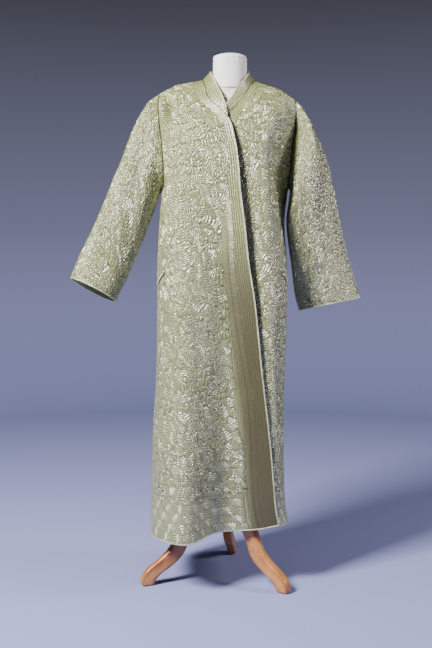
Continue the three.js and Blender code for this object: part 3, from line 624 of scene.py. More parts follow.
class MeshMaker:
    """Builds pieces from grids of points with bmesh operators."""

    INNER_STEP = 4

    @staticmethod
    def grid(bm: bmesh.types.BMesh, points: np.ndarray, s: np.ndarray, t: np.ndarray, puff: np.ndarray,
             phase: np.ndarray | None = None) -> list:
        """A grid of faces through points; each vertex keeps its cloth place, puff and vein phase."""
        phase = np.full(points.shape[:2], 0.5) if phase is None else phase
        rows, columns = points.shape[:2]
        kept = bm.verts.layers.float
        layers = [kept.get(name) or kept.new(name) for name in ("s", "t", "puff", "phase")]
        made = bmesh.ops.create_grid(bm, x_segments=columns - 1, y_segments=rows - 1, size=1.0)["verts"]
        place = to_row_frame(points)
        for vert in made:
            i = int(round((vert.co.x + 1) / 2 * (columns - 1)))
            j = int(round((vert.co.y + 1) / 2 * (rows - 1)))
            vert.co = place[j, i]
            for layer, values in zip(layers, (s, t, puff, phase)):
                vert[layer] = values[j, i]
        return made

    @classmethod
    def wall(cls, name: str, sheet: Sheet, outer: np.ndarray, inner: np.ndarray, puff: np.ndarray,
             phase: np.ndarray, closed: bool) -> bpy.types.Object:
        """A closed cloth wall between a fine outer sheet and a coarse inner one."""
        bm = bmesh.new()
        step = cls.INNER_STEP
        fine = cls.grid(bm, outer, sheet.s, sheet.t, puff, phase)
        coarse = cls.grid(bm, inner[::step, ::step], sheet.s[::step, ::step], sheet.t[::step, ::step],
                          np.full(inner[::step, ::step].shape[:2], 0.8))
        if closed:
            for verts in (fine, coarse):
                rim = [v for v in verts if v.is_boundary]
                bmesh.ops.remove_doubles(bm, verts=rim, dist=2e-6)
        rim = [edge for edge in bm.edges if edge.is_boundary]
        if closed:
            groups = sorted(cls.loops(rim), key=lambda group: sum(e.verts[0].co.z for e in group) / len(group))
            for pair in (groups[:2], groups[2:]):
                bmesh.ops.bridge_loops(bm, edges=[edge for group in pair for edge in group])
        else:
            bmesh.ops.bridge_loops(bm, edges=rim)
        for edge in rim:
            edge.smooth = False
        bmesh.ops.recalc_face_normals(bm, faces=bm.faces)
        return cls.finish(name, bm, float(sheet.s.max()) if closed else None)

    @staticmethod
    def loops(edges: Sequence[bmesh.types.BMEdge]) -> list[list[bmesh.types.BMEdge]]:
        """Boundary edges gathered into separate loops."""
        left = set(edges)
        groups = []
        while left:
            stack, group = [left.pop()], []
            while stack:
                edge = stack.pop()
                group.append(edge)
                for vert in edge.verts:
                    for other in vert.link_edges:
                        if other in left:
                            left.remove(other)
                            stack.append(other)
            groups.append(group)
        return groups

    @staticmethod
    def finish(name: str, bm: bmesh.types.BMesh, wrap: float | None) -> bpy.types.Object:
        """Turns a bmesh into an object at the origin, with smooth faces and a UV map in cloth metres."""
        mesh = bpy.data.meshes.new(name)
        bm.to_mesh(mesh)
        bm.free()
        mesh.polygons.foreach_set("use_smooth", np.ones(len(mesh.polygons), dtype=bool))
        place = {}
        for axis in ("s", "t"):
            values = np.zeros(len(mesh.vertices), dtype=np.float32)
            mesh.attributes[axis].data.foreach_get("value", values)
            corner = np.zeros(len(mesh.loops), dtype=np.int32)
            mesh.loops.foreach_get("vertex_index", corner)
            place[axis] = values[corner].astype(float)
        if wrap:
            start = np.zeros(len(mesh.polygons), dtype=np.int32)
            total = np.zeros(len(mesh.polygons), dtype=np.int32)
            mesh.polygons.foreach_get("loop_start", start)
            mesh.polygons.foreach_get("loop_total", total)
            highest = np.repeat(np.maximum.reduceat(place["s"], start), total)
            place["s"] = np.where(highest - place["s"] > wrap / 2, place["s"] + wrap, place["s"])
        layer = mesh.uv_layers.new(name="cloth")
        corners = np.stack([place["s"], place["t"]], axis=1) * MM
        layer.data.foreach_set("uv", corners.ravel().astype(np.float32))
        obj = bpy.data.objects.new(name, mesh)
        bpy.context.scene.collection.objects.link(obj)
        return obj

    @classmethod
    def tube(cls, name: str, path: np.ndarray, radius: Callable[[np.ndarray, np.ndarray], np.ndarray],
             sides: int, closed: bool) -> bpy.types.Object:
        """A tube along a path, with a radius worked out from the distance along and the angle round it."""
        tangent = np.gradient(path, axis=0)
        if closed:
            tangent[0] = tangent[-1] = path[1] - path[-2]
        tangent /= np.linalg.norm(tangent, axis=1, keepdims=True)
        side = np.cross(tangent, np.array([0.31, 0.17, 0.93]))
        side /= np.maximum(np.linalg.norm(side, axis=1, keepdims=True), 1e-9)
        up = np.cross(side, tangent)
        angle = np.linspace(0, 2 * np.pi, sides + 1)
        along = np.concatenate([[0], np.cumsum(np.linalg.norm(np.diff(path, axis=0), axis=1))])
        size = radius(along[:, None], angle[None, :])
        points = (path[:, None] + size[..., None] * (np.cos(angle)[None, :, None] * side[:, None]
                                                     + np.sin(angle)[None, :, None] * up[:, None]))
        bm = bmesh.new()
        s = np.ones_like(along)[:, None] * angle[None, :]
        t = along[:, None] * np.ones_like(angle)[None, :]
        verts = cls.grid(bm, points, s, t, size)
        bmesh.ops.remove_doubles(bm, verts=verts, dist=5e-6)
        if not closed:
            bmesh.ops.holes_fill(bm, edges=[edge for edge in bm.edges if edge.is_boundary])
        bmesh.ops.recalc_face_normals(bm, faces=bm.faces)
        return cls.finish(name, bm, 2 * np.pi)


# ---- Materials --------------------------------------------------------------

def linear(code: str) -> tuple[float, float, float, float]:
    """An sRGB hex colour as linear RGBA."""
    values = [int(code[i:i + 2], 16) / 255 for i in (1, 3, 5)]
    return (*(v / 12.92 if v <= 0.04045 else ((v + 0.055) / 1.055) ** 2.4 for v in values), 1.0)


class Nodes:
    """A material's node tree, with one call to add and wire a node."""

    def __init__(self, name: str) -> None:
        self.material = bpy.data.materials.new(name)
        self.material.use_nodes = True
        self.tree = self.material.node_tree
        self.tree.nodes.clear()

    def add(self, kind: str, inputs: dict | None = None, **settings) -> bpy.types.Node:
        """Adds a node; an input's value is a constant or another node's output socket."""
        node = self.tree.nodes.new(f"ShaderNode{kind}")
        for key, value in settings.items():
            setattr(node, key, value)
        for key, value in (inputs or {}).items():
            socket = node.inputs[key]
            if isinstance(value, bpy.types.NodeSocket):
                self.tree.links.new(value, socket)
            else:
                socket.default_value = value
        return node

    def mix(self, share, low, high) -> bpy.types.NodeSocket:
        """A colour mixed between two."""
        node = self.add("Mix", data_type="RGBA")
        for key, value in ((0, share), (6, low), (7, high)):
            if isinstance(value, bpy.types.NodeSocket):
                self.tree.links.new(value, node.inputs[key])
            else:
                node.inputs[key].default_value = value
        return node.outputs[2]

    def span(self, value, low: float, high: float, to_low: float, to_high: float) -> bpy.types.NodeSocket:
        """A value mapped from one span to another and kept inside it."""
        node = self.add("MapRange", {"Value": value, "From Min": low, "From Max": high,
                                     "To Min": to_low, "To Max": to_high})
        return node.outputs["Result"]

    def bump(self, height, distance: float, strength: float = 1.0, normal=None) -> bpy.types.NodeSocket:
        """A bump from a height of this many metres at full strength."""
        inputs = {"Height": height, "Distance": distance, "Strength": strength}
        if normal is not None:
            inputs["Normal"] = normal
        return self.add("Bump", inputs).outputs["Normal"]

    def surface(self, **inputs) -> bpy.types.Material:
        """Ends the tree in a principled surface with these inputs, named with _ for each space."""
        shader = self.add("BsdfPrincipled", {key.replace("_", " "): value for key, value in inputs.items()})
        output = self.add("OutputMaterial")
        self.tree.links.new(shader.outputs["BSDF"], output.inputs["Surface"])
        return self.material


@dataclass(frozen=True)
class SilkFinish:
    """Woven silk satin over cotton wadding: pale between the stitches, with painted shade darkening the stitched
    grooves, and yellowed in random patches with age.

    Satin's long floats give a soft, bright gloss on each puff, and none in the flattened bands, which take a dark
    olive colour as painted shade. Its threads are about 0.1 mm apart and are drawn four times as coarse, so that
    they show.
    """

    face: str = "#8f9155"
    worn: str = "#9c9e69"
    # painted shade for the stitched grooves; also the colour of the random yellowing of age
    age_and_groove_shade: str = "#565026"
    # painted shade: the dark olive of the flattened bands, for the shaded front border
    smooth: str = "#413a16"
    thread_mm: float = 0.42
    vein_relief_mm: float = 2.3
    pucker_mm: float = 6.5
    pucker_relief_mm: float = 1.3
    roughness: tuple[float, float] = (0.3, 0.44)
    smooth_roughness: float = 0.66
    gloss: float = 1.0

    def build(self, name: str) -> bpy.types.Material:
        """The material."""
        nodes = Nodes(name)
        place = nodes.add("UVMap", uv_map="cloth").outputs["UV"]
        puff, phase = (nodes.add("Attribute", attribute_name=key).outputs["Fac"] for key in ("puff", "phase"))
        wave = nodes.add("Math", {0: phase, 1: math.pi}, operation="MULTIPLY").outputs[0]
        for step in ("SINE", "ABSOLUTE"):
            wave = nodes.add("Math", {0: wave}, operation=step).outputs[0]
        wave = nodes.add("Math", {0: wave, 1: 0.7}, operation="POWER").outputs[0]
        quilted = nodes.span(puff, 0.1, 0.5, 0.0, 1.0)
        puff = nodes.add("Math", {0: puff, 1: wave}, operation="MULTIPLY").outputs[0]
        mottle = nodes.add("TexNoise", {"Vector": place, "Scale": 22.0, "Detail": 5.0}).outputs["Fac"]
        age = nodes.add("TexNoise", {"Vector": place, "Scale": 4.5, "Detail": 3.0}).outputs["Fac"]
        pucker = nodes.add("TexNoise", {"Vector": place, "Scale": 1000 / self.pucker_mm, "Detail": 2.5,
                                        "Roughness": 0.55, "Distortion": 0.5}).outputs["Fac"]
        face = nodes.mix(nodes.span(mottle, 0.35, 0.65, 0.0, 1.0), linear(self.face), linear(self.worn))
        yellowed = nodes.mix(nodes.span(age, 0.4, 0.75, 0.0, 0.3), face, linear(self.age_and_groove_shade))
        # painted shade: darker down in the stitched grooves and motif outlines, where the puff is low
        colour = nodes.mix(nodes.span(puff, 0.05, 0.55, 0.75, 0.0), yellowed, linear(self.age_and_groove_shade))
        # painted shade: dark olive wherever the puff is low, along the front border, the seams and the pocket
        # slits
        colour = nodes.mix(quilted, linear(self.smooth), colour)
        warp, weft = (
            nodes.add("TexWave", {"Vector": place, "Scale": 1000 / self.thread_mm / 20, "Distortion": 0.3},
                      bands_direction=axis).outputs["Fac"] for axis in ("X", "Y"))
        weave = nodes.add("Math", {0: warp, 1: weft}, operation="MULTIPLY").outputs[0]
        normal = nodes.bump(pucker, self.pucker_relief_mm * MM, 1.0, nodes.bump(puff, self.vein_relief_mm * MM))
        normal = nodes.bump(weave, 0.06 * MM, 0.35, normal)
        satin = nodes.span(pucker, 0.3, 0.7, *self.roughness)
        blend = nodes.add("Mix", {0: quilted, 2: self.smooth_roughness, 3: satin}, data_type="FLOAT").outputs[0]
        gloss = nodes.span(quilted, 0.0, 1.0, 0.0, self.gloss)
        return nodes.surface(
            Base_Color=colour, Roughness=blend, Normal=normal, IOR=1.54, Coat_Weight=gloss,
            Coat_IOR=2.2, Coat_Roughness=0.33, Coat_Normal=normal)


@dataclass(frozen=True)
class CottonFinish:
    """Knitted cotton jersey pulled over the form: matt, with a faint fuzz.

    Its ribs are about 0.8 mm apart and are drawn nearly twice as coarse, so that they show.
    """

    face: str = "#e4dfde"
    shade: str = "#cfc8c6"
    rib_mm: float = 1.4

    def build(self, name: str) -> bpy.types.Material:
        """The material."""
        nodes = Nodes(name)
        place = nodes.add("TexCoord").outputs["Object"]
        mottle = nodes.add("TexNoise", {"Vector": place, "Scale": 28.0, "Detail": 4.0}).outputs["Fac"]
        colour = nodes.mix(nodes.span(mottle, 0.35, 0.7, 0.0, 1.0), linear(self.face), linear(self.shade))
        rib = nodes.add("TexWave", {"Vector": place, "Scale": 1000 / self.rib_mm / 20, "Distortion": 0.6},
                        bands_direction="X").outputs["Fac"]
        fibre = nodes.add("TexNoise", {"Vector": place, "Scale": 900.0, "Detail": 2.0}).outputs["Fac"]
        normal = nodes.bump(fibre, 0.15 * MM, 0.5, nodes.bump(rib, 0.12 * MM, 0.4))
        return nodes.surface(Base_Color=colour, Roughness=0.88, Normal=normal, Sheen_Weight=0.2,
                             Sheen_Roughness=0.5)


@dataclass(frozen=True)
class WoodFinish:
    """Turned and sawn beech, stained and varnished: streaked along its grain, and worn pale at its edges."""

    early: str = "#b9743c"
    late: str = "#7a421d"
    worn: str = "#cd9153"
    roughness: tuple[float, float] = (0.2, 0.36)

    def build(self, name: str, grain_axis: tuple[float, float, float]) -> bpy.types.Material:
        """The material, with its grain along the axis whose scale is small."""
        nodes = Nodes(name)
        place = nodes.add("TexCoord").outputs["Object"]
        stretched = nodes.add("Mapping", {"Vector": place, "Scale": grain_axis}).outputs["Vector"]
        grain = nodes.add("TexNoise", {"Vector": stretched, "Scale": 95.0, "Detail": 6.0,
                                       "Distortion": 0.4}).outputs["Fac"]
        broad = nodes.add("TexNoise", {"Vector": stretched, "Scale": 16.0, "Detail": 3.0}).outputs["Fac"]
        colour = nodes.mix(nodes.span(grain, 0.35, 0.66, 0.0, 0.8), linear(self.early), linear(self.late))
        colour = nodes.mix(nodes.span(broad, 0.5, 0.8, 0.0, 0.5), colour, linear(self.worn))
        pointed = nodes.add("NewGeometry").outputs["Pointiness"]
        colour = nodes.mix(nodes.span(pointed, 0.52, 0.62, 0.0, 0.7), colour, linear(self.worn))
        return nodes.surface(
            Base_Color=colour, Roughness=nodes.span(grain, 0.3, 0.7, *self.roughness),
            Normal=nodes.bump(grain, 0.12 * MM, 0.5), Coat_Weight=0.35, Coat_Roughness=0.18)


class Slot(Enum):
    """The record's material slots."""

    SILK = "quilted_silk"
    COTTON = "form_cotton"
    WOOD = "beech"


def declare(obj: bpy.types.Object, material: bpy.types.Material, slot: Slot, nodes: Sequence[str] = ()) -> None:
    """Gives a piece its material, its body and the nodes that it stands for."""
    obj.data.materials.clear()
    obj.data.materials.append(material)
    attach(obj, "root")
    if nodes:
        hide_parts(*nodes)


# ---- The coat ---------------------------------------------------------------

@dataclass(frozen=True)
class Cut:
    """A cloth piece.

    Fields:
        name, node: the piece and the CAD node that it stands for.
        flat, area: its flat cut in metres and square metres; not used.
        rests_on: the pieces that hold it up.
        columns, rows: its mesh's fineness, in steps of MeshMaker.INNER_STEP.
        salt: picks the random values of its quilting and its ripples.
    """

    name: str
    node: str
    flat: tuple[float, float]
    area: float
    rests_on: tuple[str, ...]
    columns: int
    rows: int
    salt: int


class Coat:
    """The quilted coat, each cut piece a wall of its own with its relief and its corded edges."""

    RELIEF = 1.7  # height of the puffs over the stitching
    HEM_RELIEF = 1.1
    BORDER_RELIEF = 1.7
    SINK = 0.55  # the share of the relief that lies under the cloth's mean surface
    SEAM_FADE, SEAM_PUFF = 6, 5  # the relief and the puffs die out this near a seam
    RIM_BACK = 0.25  # how far the top row is drawn back from its seam
    MOST_SLANT = 1.5  # the wall's thickness along its direction, at most, over its real one
    CALM = 45  # ripples die out this near a seam or the hem
    EDGE_CALM = 0.84
    EDGE_BAND, EDGE_BAND_TOP = 86.0, 24.0
    HEM_BAND = 122.0
    CUFF_BAND = 105.0
    CORD_RADIUS = 2.1
    STITCH_PITCH = 4.6
    ARMHOLE_SHARE = 0.235  # of a body panel's mesh rows
    POCKETS = {"right": (122, 944, 74, 912), "left": (112, 944, 66, 918)}  # top inset, top Z, low inset, low Z

    def __init__(self, silk: bpy.types.Material, binding: bpy.types.Material) -> None:
        self.silk = silk
        self.binding = binding
        self.right = Front(Table(FRONT_COLUMNS, RIGHT_FRONT_ROWS))
        self.left = Front(Table(FRONT_COLUMNS, LEFT_FRONT_ROWS))
        self.back = Back(Table(BACK_COLUMNS, BACK_ROWS), self.right, self.left)

    def build(self) -> list[bpy.types.Object]:
        """Makes every piece of the coat."""
        body, right_join, left_join = ("form_body",), ("right_front", "back_panel"), ("left_front", "back_panel")
        right_sleeve = Sleeve(Table(SLEEVE_COLUMNS, RIGHT_SLEEVE_ROWS), self.right, self.back, False)
        left_sleeve = Sleeve(Table(SLEEVE_COLUMNS, LEFT_SLEEVE_ROWS), self.left, self.back, True)
        return [
            self.front(Cut("right_front", "coat_front_right", (0.60, 1.41), 0.565, body, 192, 468, 3),
                       self.right),
            self.front(Cut("left_front", "coat_front_left", (0.40, 1.37), 0.445, body, 132, 456, 11),
                       self.left),
            self.back_piece(Cut("back_panel", "coat_back", (0.71, 1.39), 0.79, body, 204, 428, 23)),
            self.sleeve(Cut("right_sleeve", "sleeve_right", (0.66, 0.50), 0.217, right_join, 192, 176, 37),
                        right_sleeve),
            self.sleeve(Cut("left_sleeve", "sleeve_left", (0.66, 0.51), 0.231, left_join, 192, 176, 41),
                        left_sleeve),
            self.neckband(Cut("neckband", "collar", (0.46, 0.05), 0.018, ("form_neck_cover",), 12, 240, 5)),
        ]

    def front(self, cut: Cut, panel: Front) -> bpy.types.Object:
        """A front panel with its border, hem and corded edge."""
        levels = self.levels(cut.rows)
        sheet = Sheet.of(panel.row, levels, cut.columns)
        up, from_seam = sheet.length - sheet.t, sheet.width - sheet.s
        puff, phase, relief = self.bordered(Quilting(cut.salt), sheet, up, sheet.s)
        margin = np.minimum(from_seam, sheet.t)
        puff *= smooth_step(margin, 0, self.SEAM_PUFF)
        relief *= smooth_step(margin, 0, self.SEAM_FADE)
        x, z = sheet.points[..., 0], sheet.points[..., 2]
        calm = smooth_step(np.minimum(margin, up), 0, self.CALM)
        waves = (1.5 * cloud(sheet.s / 75, sheet.t / 120, cut.salt + 7)
                 + 0.8 * cloud(sheet.s / 34, sheet.t / 48, cut.salt))
        lift = waves * calm * smooth_step(sheet.s, 0, 60)
        if panel is self.left:
            lift *= smooth_step(x, 70, 120)  # flat where the right front lies over it
        for crease in (RIGHT_CREASES if panel is self.right else LEFT_CREASES):
            lift = lift + crease.lift(x, z) * smooth_step(margin, 0, 10)
        puff = self.pocket_mark(panel, sheet, puff)
        obj = self.wall(cut, sheet, puff, phase, relief, lift, False)
        first = int(np.searchsorted(levels, NECKLINE_ROWS))
        rim = self.rim(sheet, lift)
        cords = [
            self.cord(f"{cut.name}_edge", np.concatenate([rim[first:, 0], rim[-1, 1:]]), False),
            self.welt(f"{cut.name}_pocket", panel),
        ]
        self.finish(obj, cut, cords)
        return obj

    def back_piece(self, cut: Cut) -> bpy.types.Object:
        """The back, in one width."""
        levels = self.levels(cut.rows)
        sheet = Sheet.of(self.back.row, levels, cut.columns)
        up = sheet.length - sheet.t
        puff, phase, relief = self.bordered(Quilting(cut.salt), sheet, up, None)
        margin = np.minimum(np.minimum(sheet.s, sheet.width - sheet.s), sheet.t)
        centre_seam = np.abs(sheet.s - sheet.width / 2)
        puff *= smooth_step(margin, 0, self.SEAM_PUFF) * smooth_step(centre_seam, 0, 2.5)
        relief *= smooth_step(margin, 0, self.SEAM_FADE)
        calm = smooth_step(np.minimum(margin, up), 0, self.CALM)
        lift = (2.0 * cloud(sheet.s / 80, sheet.t / 140, cut.salt + 7)
                + 0.9 * cloud(sheet.s / 36, sheet.t / 50, cut.salt)) * calm
        obj = self.wall(cut, sheet, puff, phase, relief, lift, False)
        self.finish(obj, cut, [self.cord("back_hem", self.rim(sheet, lift)[-1], False)])
        return obj

    def sleeve(self, cut: Cut, shape: Sleeve) -> bpy.types.Object:
        """A sleeve with its cuff band and corded cuff."""
        head = cut.rows // 11
        levels = np.concatenate([np.linspace(0, 1, head + 1)[:-1],
                                 np.linspace(1, SLEEVE_STEPS, cut.rows + 1 - head)])
        sheet = Sheet.of(shape.row, levels, cut.columns)
        up = sheet.length - sheet.t
        cuff = smooth_step(self.CUFF_BAND - up, -2, 2)
        small = Quilting(cut.salt + 1, pitch=19.0, vein=5.6, petals=6, button=2.4).field(sheet.s, sheet.t)
        puff, phase = joined(Quilting(cut.salt).field(sheet.s, sheet.t), (0.8 * small[0], small[1]), cuff)
        from_join = np.minimum(sheet.s, sheet.width - sheet.s)
        puff *= smooth_step(np.minimum(sheet.t, from_join), 0, 4)
        relief = self.RELIEF * (1 - cuff) + self.BORDER_RELIEF * cuff
        relief = relief * smooth_step(sheet.t, 0, self.SEAM_FADE)
        x, y, z = (sheet.points[..., i] for i in range(3))
        calm = smooth_step(np.minimum(sheet.t, up), 0, self.CALM)
        ring = 2 * np.pi * sheet.s / sheet.width
        waves = (1.6 * np.sin(ring * 3 + 1.3 * np.sin(sheet.t / 60) + cut.salt)
                 + 0.9 * np.sin(ring * 5 - sheet.t / 45))
        lift = waves * calm
        in_front = y < y.mean(axis=1, keepdims=True)
        for crease in (LEFT_SLEEVE_CREASES if shape.left else RIGHT_SLEEVE_CREASES):
            lift = lift + crease.lift(x, z) * in_front * smooth_step(sheet.t, 0, 25)
        obj = self.wall(cut, sheet, puff, phase, relief, lift, True)
        rim = self.rim(sheet, lift, True)[-1]
        self.finish(obj, cut, [self.cord(f"{cut.name}_cuff", rim, True)])
        return obj

    def neckband(self, cut: Cut) -> bpy.types.Object:
        """The narrow band round the neck."""
        band = Neckband(self.right, self.back, self.left)
        sheet = Sheet.of(band.row, np.linspace(0, 1, cut.rows + 1), cut.columns)
        puff, phase = 0.5 * smooth_step(sheet.width - sheet.s, 0, 2), sheet.s / 7.5
        normal = sheet.normals(False, np.array(NECK_MIDDLE))
        outer = sheet.points + normal * (0.5 * (puff * channels(phase) - 0.6))[..., None]
        inner = sheet.points - normal * (WALL - SEAM_GAP)
        obj = MeshMaker.wall(cut.name, sheet, outer, inner, puff, phase, False)
        edge = (sheet.points[:, 0] + inner[:, 0]) / 2
        self.finish(obj, cut, [self.cord("neckband_edge", edge[::2], False)])
        return obj

    @staticmethod
    def levels(rows: int) -> np.ndarray:
        """Mesh rows from the shoulder to the hem, about evenly down the cloth."""
        armhole = round(rows * Coat.ARMHOLE_SHARE)
        return np.concatenate([np.linspace(0, ARMHOLE_STEPS, armhole + 1)[:-1],
                               np.linspace(ARMHOLE_STEPS, ARMHOLE_STEPS + SKIRT_STEPS, rows + 1 - armhole)])

    def bordered(self, quilting: Quilting, sheet: Sheet, up: np.ndarray,
                 from_edge: np.ndarray | None) -> tuple[np.ndarray, np.ndarray, np.ndarray]:
        """Puff, vein phase and relief height of a body panel: the main quilting, its hem and its edge."""
        relief = self.RELIEF * (0.95 + 0.25 * cloud(sheet.s / 60, sheet.t / 60, quilting.salt + 9))
        hem = smooth_step(self.HEM_BAND - up, -2, 2)
        field = joined(quilting.field(sheet.s, sheet.t), quilting.hem_field(sheet.s, up), hem)
        relief = relief * (1 - hem) + self.HEM_RELIEF * hem
        if from_edge is not None:
            widening = smooth_step(sheet.t, 240, 640)
            band = self.EDGE_BAND_TOP + (self.EDGE_BAND - self.EDGE_BAND_TOP) * widening
            wander = from_edge + 9 * cloud(sheet.t / 38, from_edge / 90, quilting.salt + 2)
            edge = smooth_step(band - wander, -4, 4)
            puff, phase = joined(field, quilting.edge_field(from_edge, sheet.t), edge)
            flat = smooth_step(band + 10 - from_edge, -38, 38) * (0.4 + 0.6 * smooth_step(sheet.t, 300, 760))
            relief = relief * (1 - flat) + self.BORDER_RELIEF * flat
            # The lowered puff also gives the border band the material's painted shade.
            return puff * (1 - self.EDGE_CALM * flat), phase, relief
        return *field, relief

    def pocket_path(self, panel: Front) -> np.ndarray:
        """The slanted pocket slit's points on a front panel."""
        top_inset, top_z, low_inset, low_z = self.POCKETS["right" if panel is self.right else "left"]
        path = []
        for share in np.linspace(0, 1, 25):
            inset = top_inset + (low_inset - top_inset) * share
            z = top_z + (low_z - top_z) * share
            low, high = float(ARMHOLE_STEPS), float(ARMHOLE_STEPS + SKIRT_STEPS)
            for _ in range(24):  # halves the span until the row at this height is found
                middle = (low + high) / 2
                if panel.table.at("crestZ", table_row(middle)) > z:
                    low = middle
                else:
                    high = middle
            curve = panel.curve(low)
            path.append(spaced(curve, np.array([1 - inset / length_of(curve)]))[0])
        return np.array(path)

    def pocket_mark(self, panel: Front, sheet: Sheet, puff: np.ndarray) -> np.ndarray:
        """Pulls the cloth in along the pocket slit; the lowered puff also gives the slit the material's painted
        shade.
        """
        path = self.pocket_path(panel)
        reach = np.abs(sheet.points[:, :, 2] - path[:, 2].mean()) < 40
        distance = np.full(puff.shape, 1e3)
        near = sheet.points[reach]
        distance[reach] = np.linalg.norm(near[:, None] - path[None], axis=2).min(axis=1)
        return puff * smooth_step(distance, 3, 9)

    def welt(self, name: str, panel: Front) -> bpy.types.Object:
        """The corded lip of a pocket slit."""
        path = self.pocket_path(panel)
        path = path + body_outward(path) * 1.4
        taper = lambda along, angle: (2.7 + 0.25 * np.sin(2 * np.pi * along / 4.0 + angle)) * np.clip(
            np.minimum(along, along.max() - along) / 4 + 0.35, 0, 1)
        fine = spaced(centripetal(path, 4), np.linspace(0, 1, 56))
        return MeshMaker.tube(name, fine, taper, 10, False)

    @staticmethod
    def rim(sheet: Sheet, lift: np.ndarray, closed: bool = False) -> np.ndarray:
        """The middle of the wall's thickness behind each point of a sheet."""
        if closed:
            normal = sheet.normals(True, sheet.points.mean(axis=1, keepdims=True))
            return sheet.points + normal * (lift - WALL / 2)[..., None]
        return sheet.points + body_outward(sheet.points) * (lift - WALL / 2)[..., None]

    def cord(self, name: str, path: np.ndarray, closed: bool) -> bpy.types.Object:
        """An overcast edge: close slanting stitches over a rolled cord."""
        total = length_of(path)
        fine = spaced(path, np.linspace(0, 1, int(total / 1.5)))
        radius = lambda along, angle: self.CORD_RADIUS + 0.34 * np.abs(
            np.sin(np.pi * along / self.STITCH_PITCH + angle / 2)) ** 0.7 - 0.2
        return MeshMaker.tube(name, fine, radius, 8, closed)

    def wall(self, cut: Cut, sheet: Sheet, puff: np.ndarray, phase: np.ndarray, relief: np.ndarray,
             lift: np.ndarray, closed: bool) -> bpy.types.Object:
        """The piece's wall, with its rim drawn back from the seams."""
        if closed:
            centre = sheet.points.mean(axis=1, keepdims=True)
            normal = sheet.normals(True, centre)
            base = sheet.points + normal * lift[..., None]
            inner = base - normal * WALL
        else:
            normal = sheet.normals(False, np.array(BODY_MIDDLE))
            base = sheet.points + normal * lift[..., None]
            direction = body_outward(sheet.points)
            slant = 1 / np.maximum(np.abs((direction * normal).sum(axis=2)), 1 / self.MOST_SLANT)
            inner = base - direction * (WALL * slant)[..., None]
        outer = base + normal * (relief * (puff * channels(phase) - self.SINK))[..., None]
        for grid in (outer, inner):
            step = grid[1] - grid[0]
            grid[0] += step / np.linalg.norm(step, axis=1, keepdims=True) * self.RIM_BACK
        LOG.info("%s: %.3f x %.3f m, %.3f square metres", cut.name, float(sheet.s.max()) * MM, sheet.length * MM,
                 float((sheet.width[:-1, 0] * np.diff(sheet.t[:, 0])).sum()) * 1e-6)
        return MeshMaker.wall(cut.name, sheet, outer, inner, puff, phase, closed)

    def finish(self, obj: bpy.types.Object, cut: Cut, trims: list[bpy.types.Object]) -> None:
        """Declares a cloth piece with its corded edges."""
        declare(obj, self.silk, Slot.SILK, (cut.node,))
        for trim in trims:
            welt = {"right_front_pocket": ("pocket_welt_right",), "left_front_pocket": ("pocket_welt_left",)}
            declare(trim, self.binding, Slot.SILK, welt.get(trim.name, ()))
        list(cut.rests_on)


RIGHT_CREASES: tuple[Crease, ...] = (
    Crease(((-170, 1452), (-165, 1428)), -9.0, 7.0),
    Crease(((-153, 1464), (-155, 1430), (-157, 1380)), 12.0, 7.5),
    Crease(((-136, 1462), (-139, 1435), (-142, 1405), (-145, 1362)), -20.0, 7.0),
    Crease(((-166, 1405), (-156, 1385), (-153, 1350), (-154, 1310), (-158, 1252), (-162, 1200)), -12.0, 7.5),
    Crease(((-100, 1240), (-112, 1120), (-118, 1000)), 2.5, 22.0),
    Crease(((-62, 980), (-58, 820), (-52, 640), (-48, 480)), -3.0, 20.0),
)
LEFT_CREASES: tuple[Crease, ...] = ()
RIGHT_SLEEVE_CREASES: tuple[Crease, ...] = (
    Crease(((-196, 1390), (-222, 1280), (-262, 1150)), -3.5, 15.0),
    Crease(((-262, 1330), (-300, 1210), (-345, 1080)), 2.5, 18.0),
)
LEFT_SLEEVE_CREASES: tuple[Crease, ...] = (
    Crease(((283, 1060), (283, 960), (282, 835)), -3.0, 5.0),
    Crease(((294, 1060), (294, 960), (293, 835)), 2.0, 8.0),
    Crease(((262, 1400), (282, 1300), (300, 1180)), -3.0, 14.0),
)


# ---- The form and its stand -------------------------------------------------

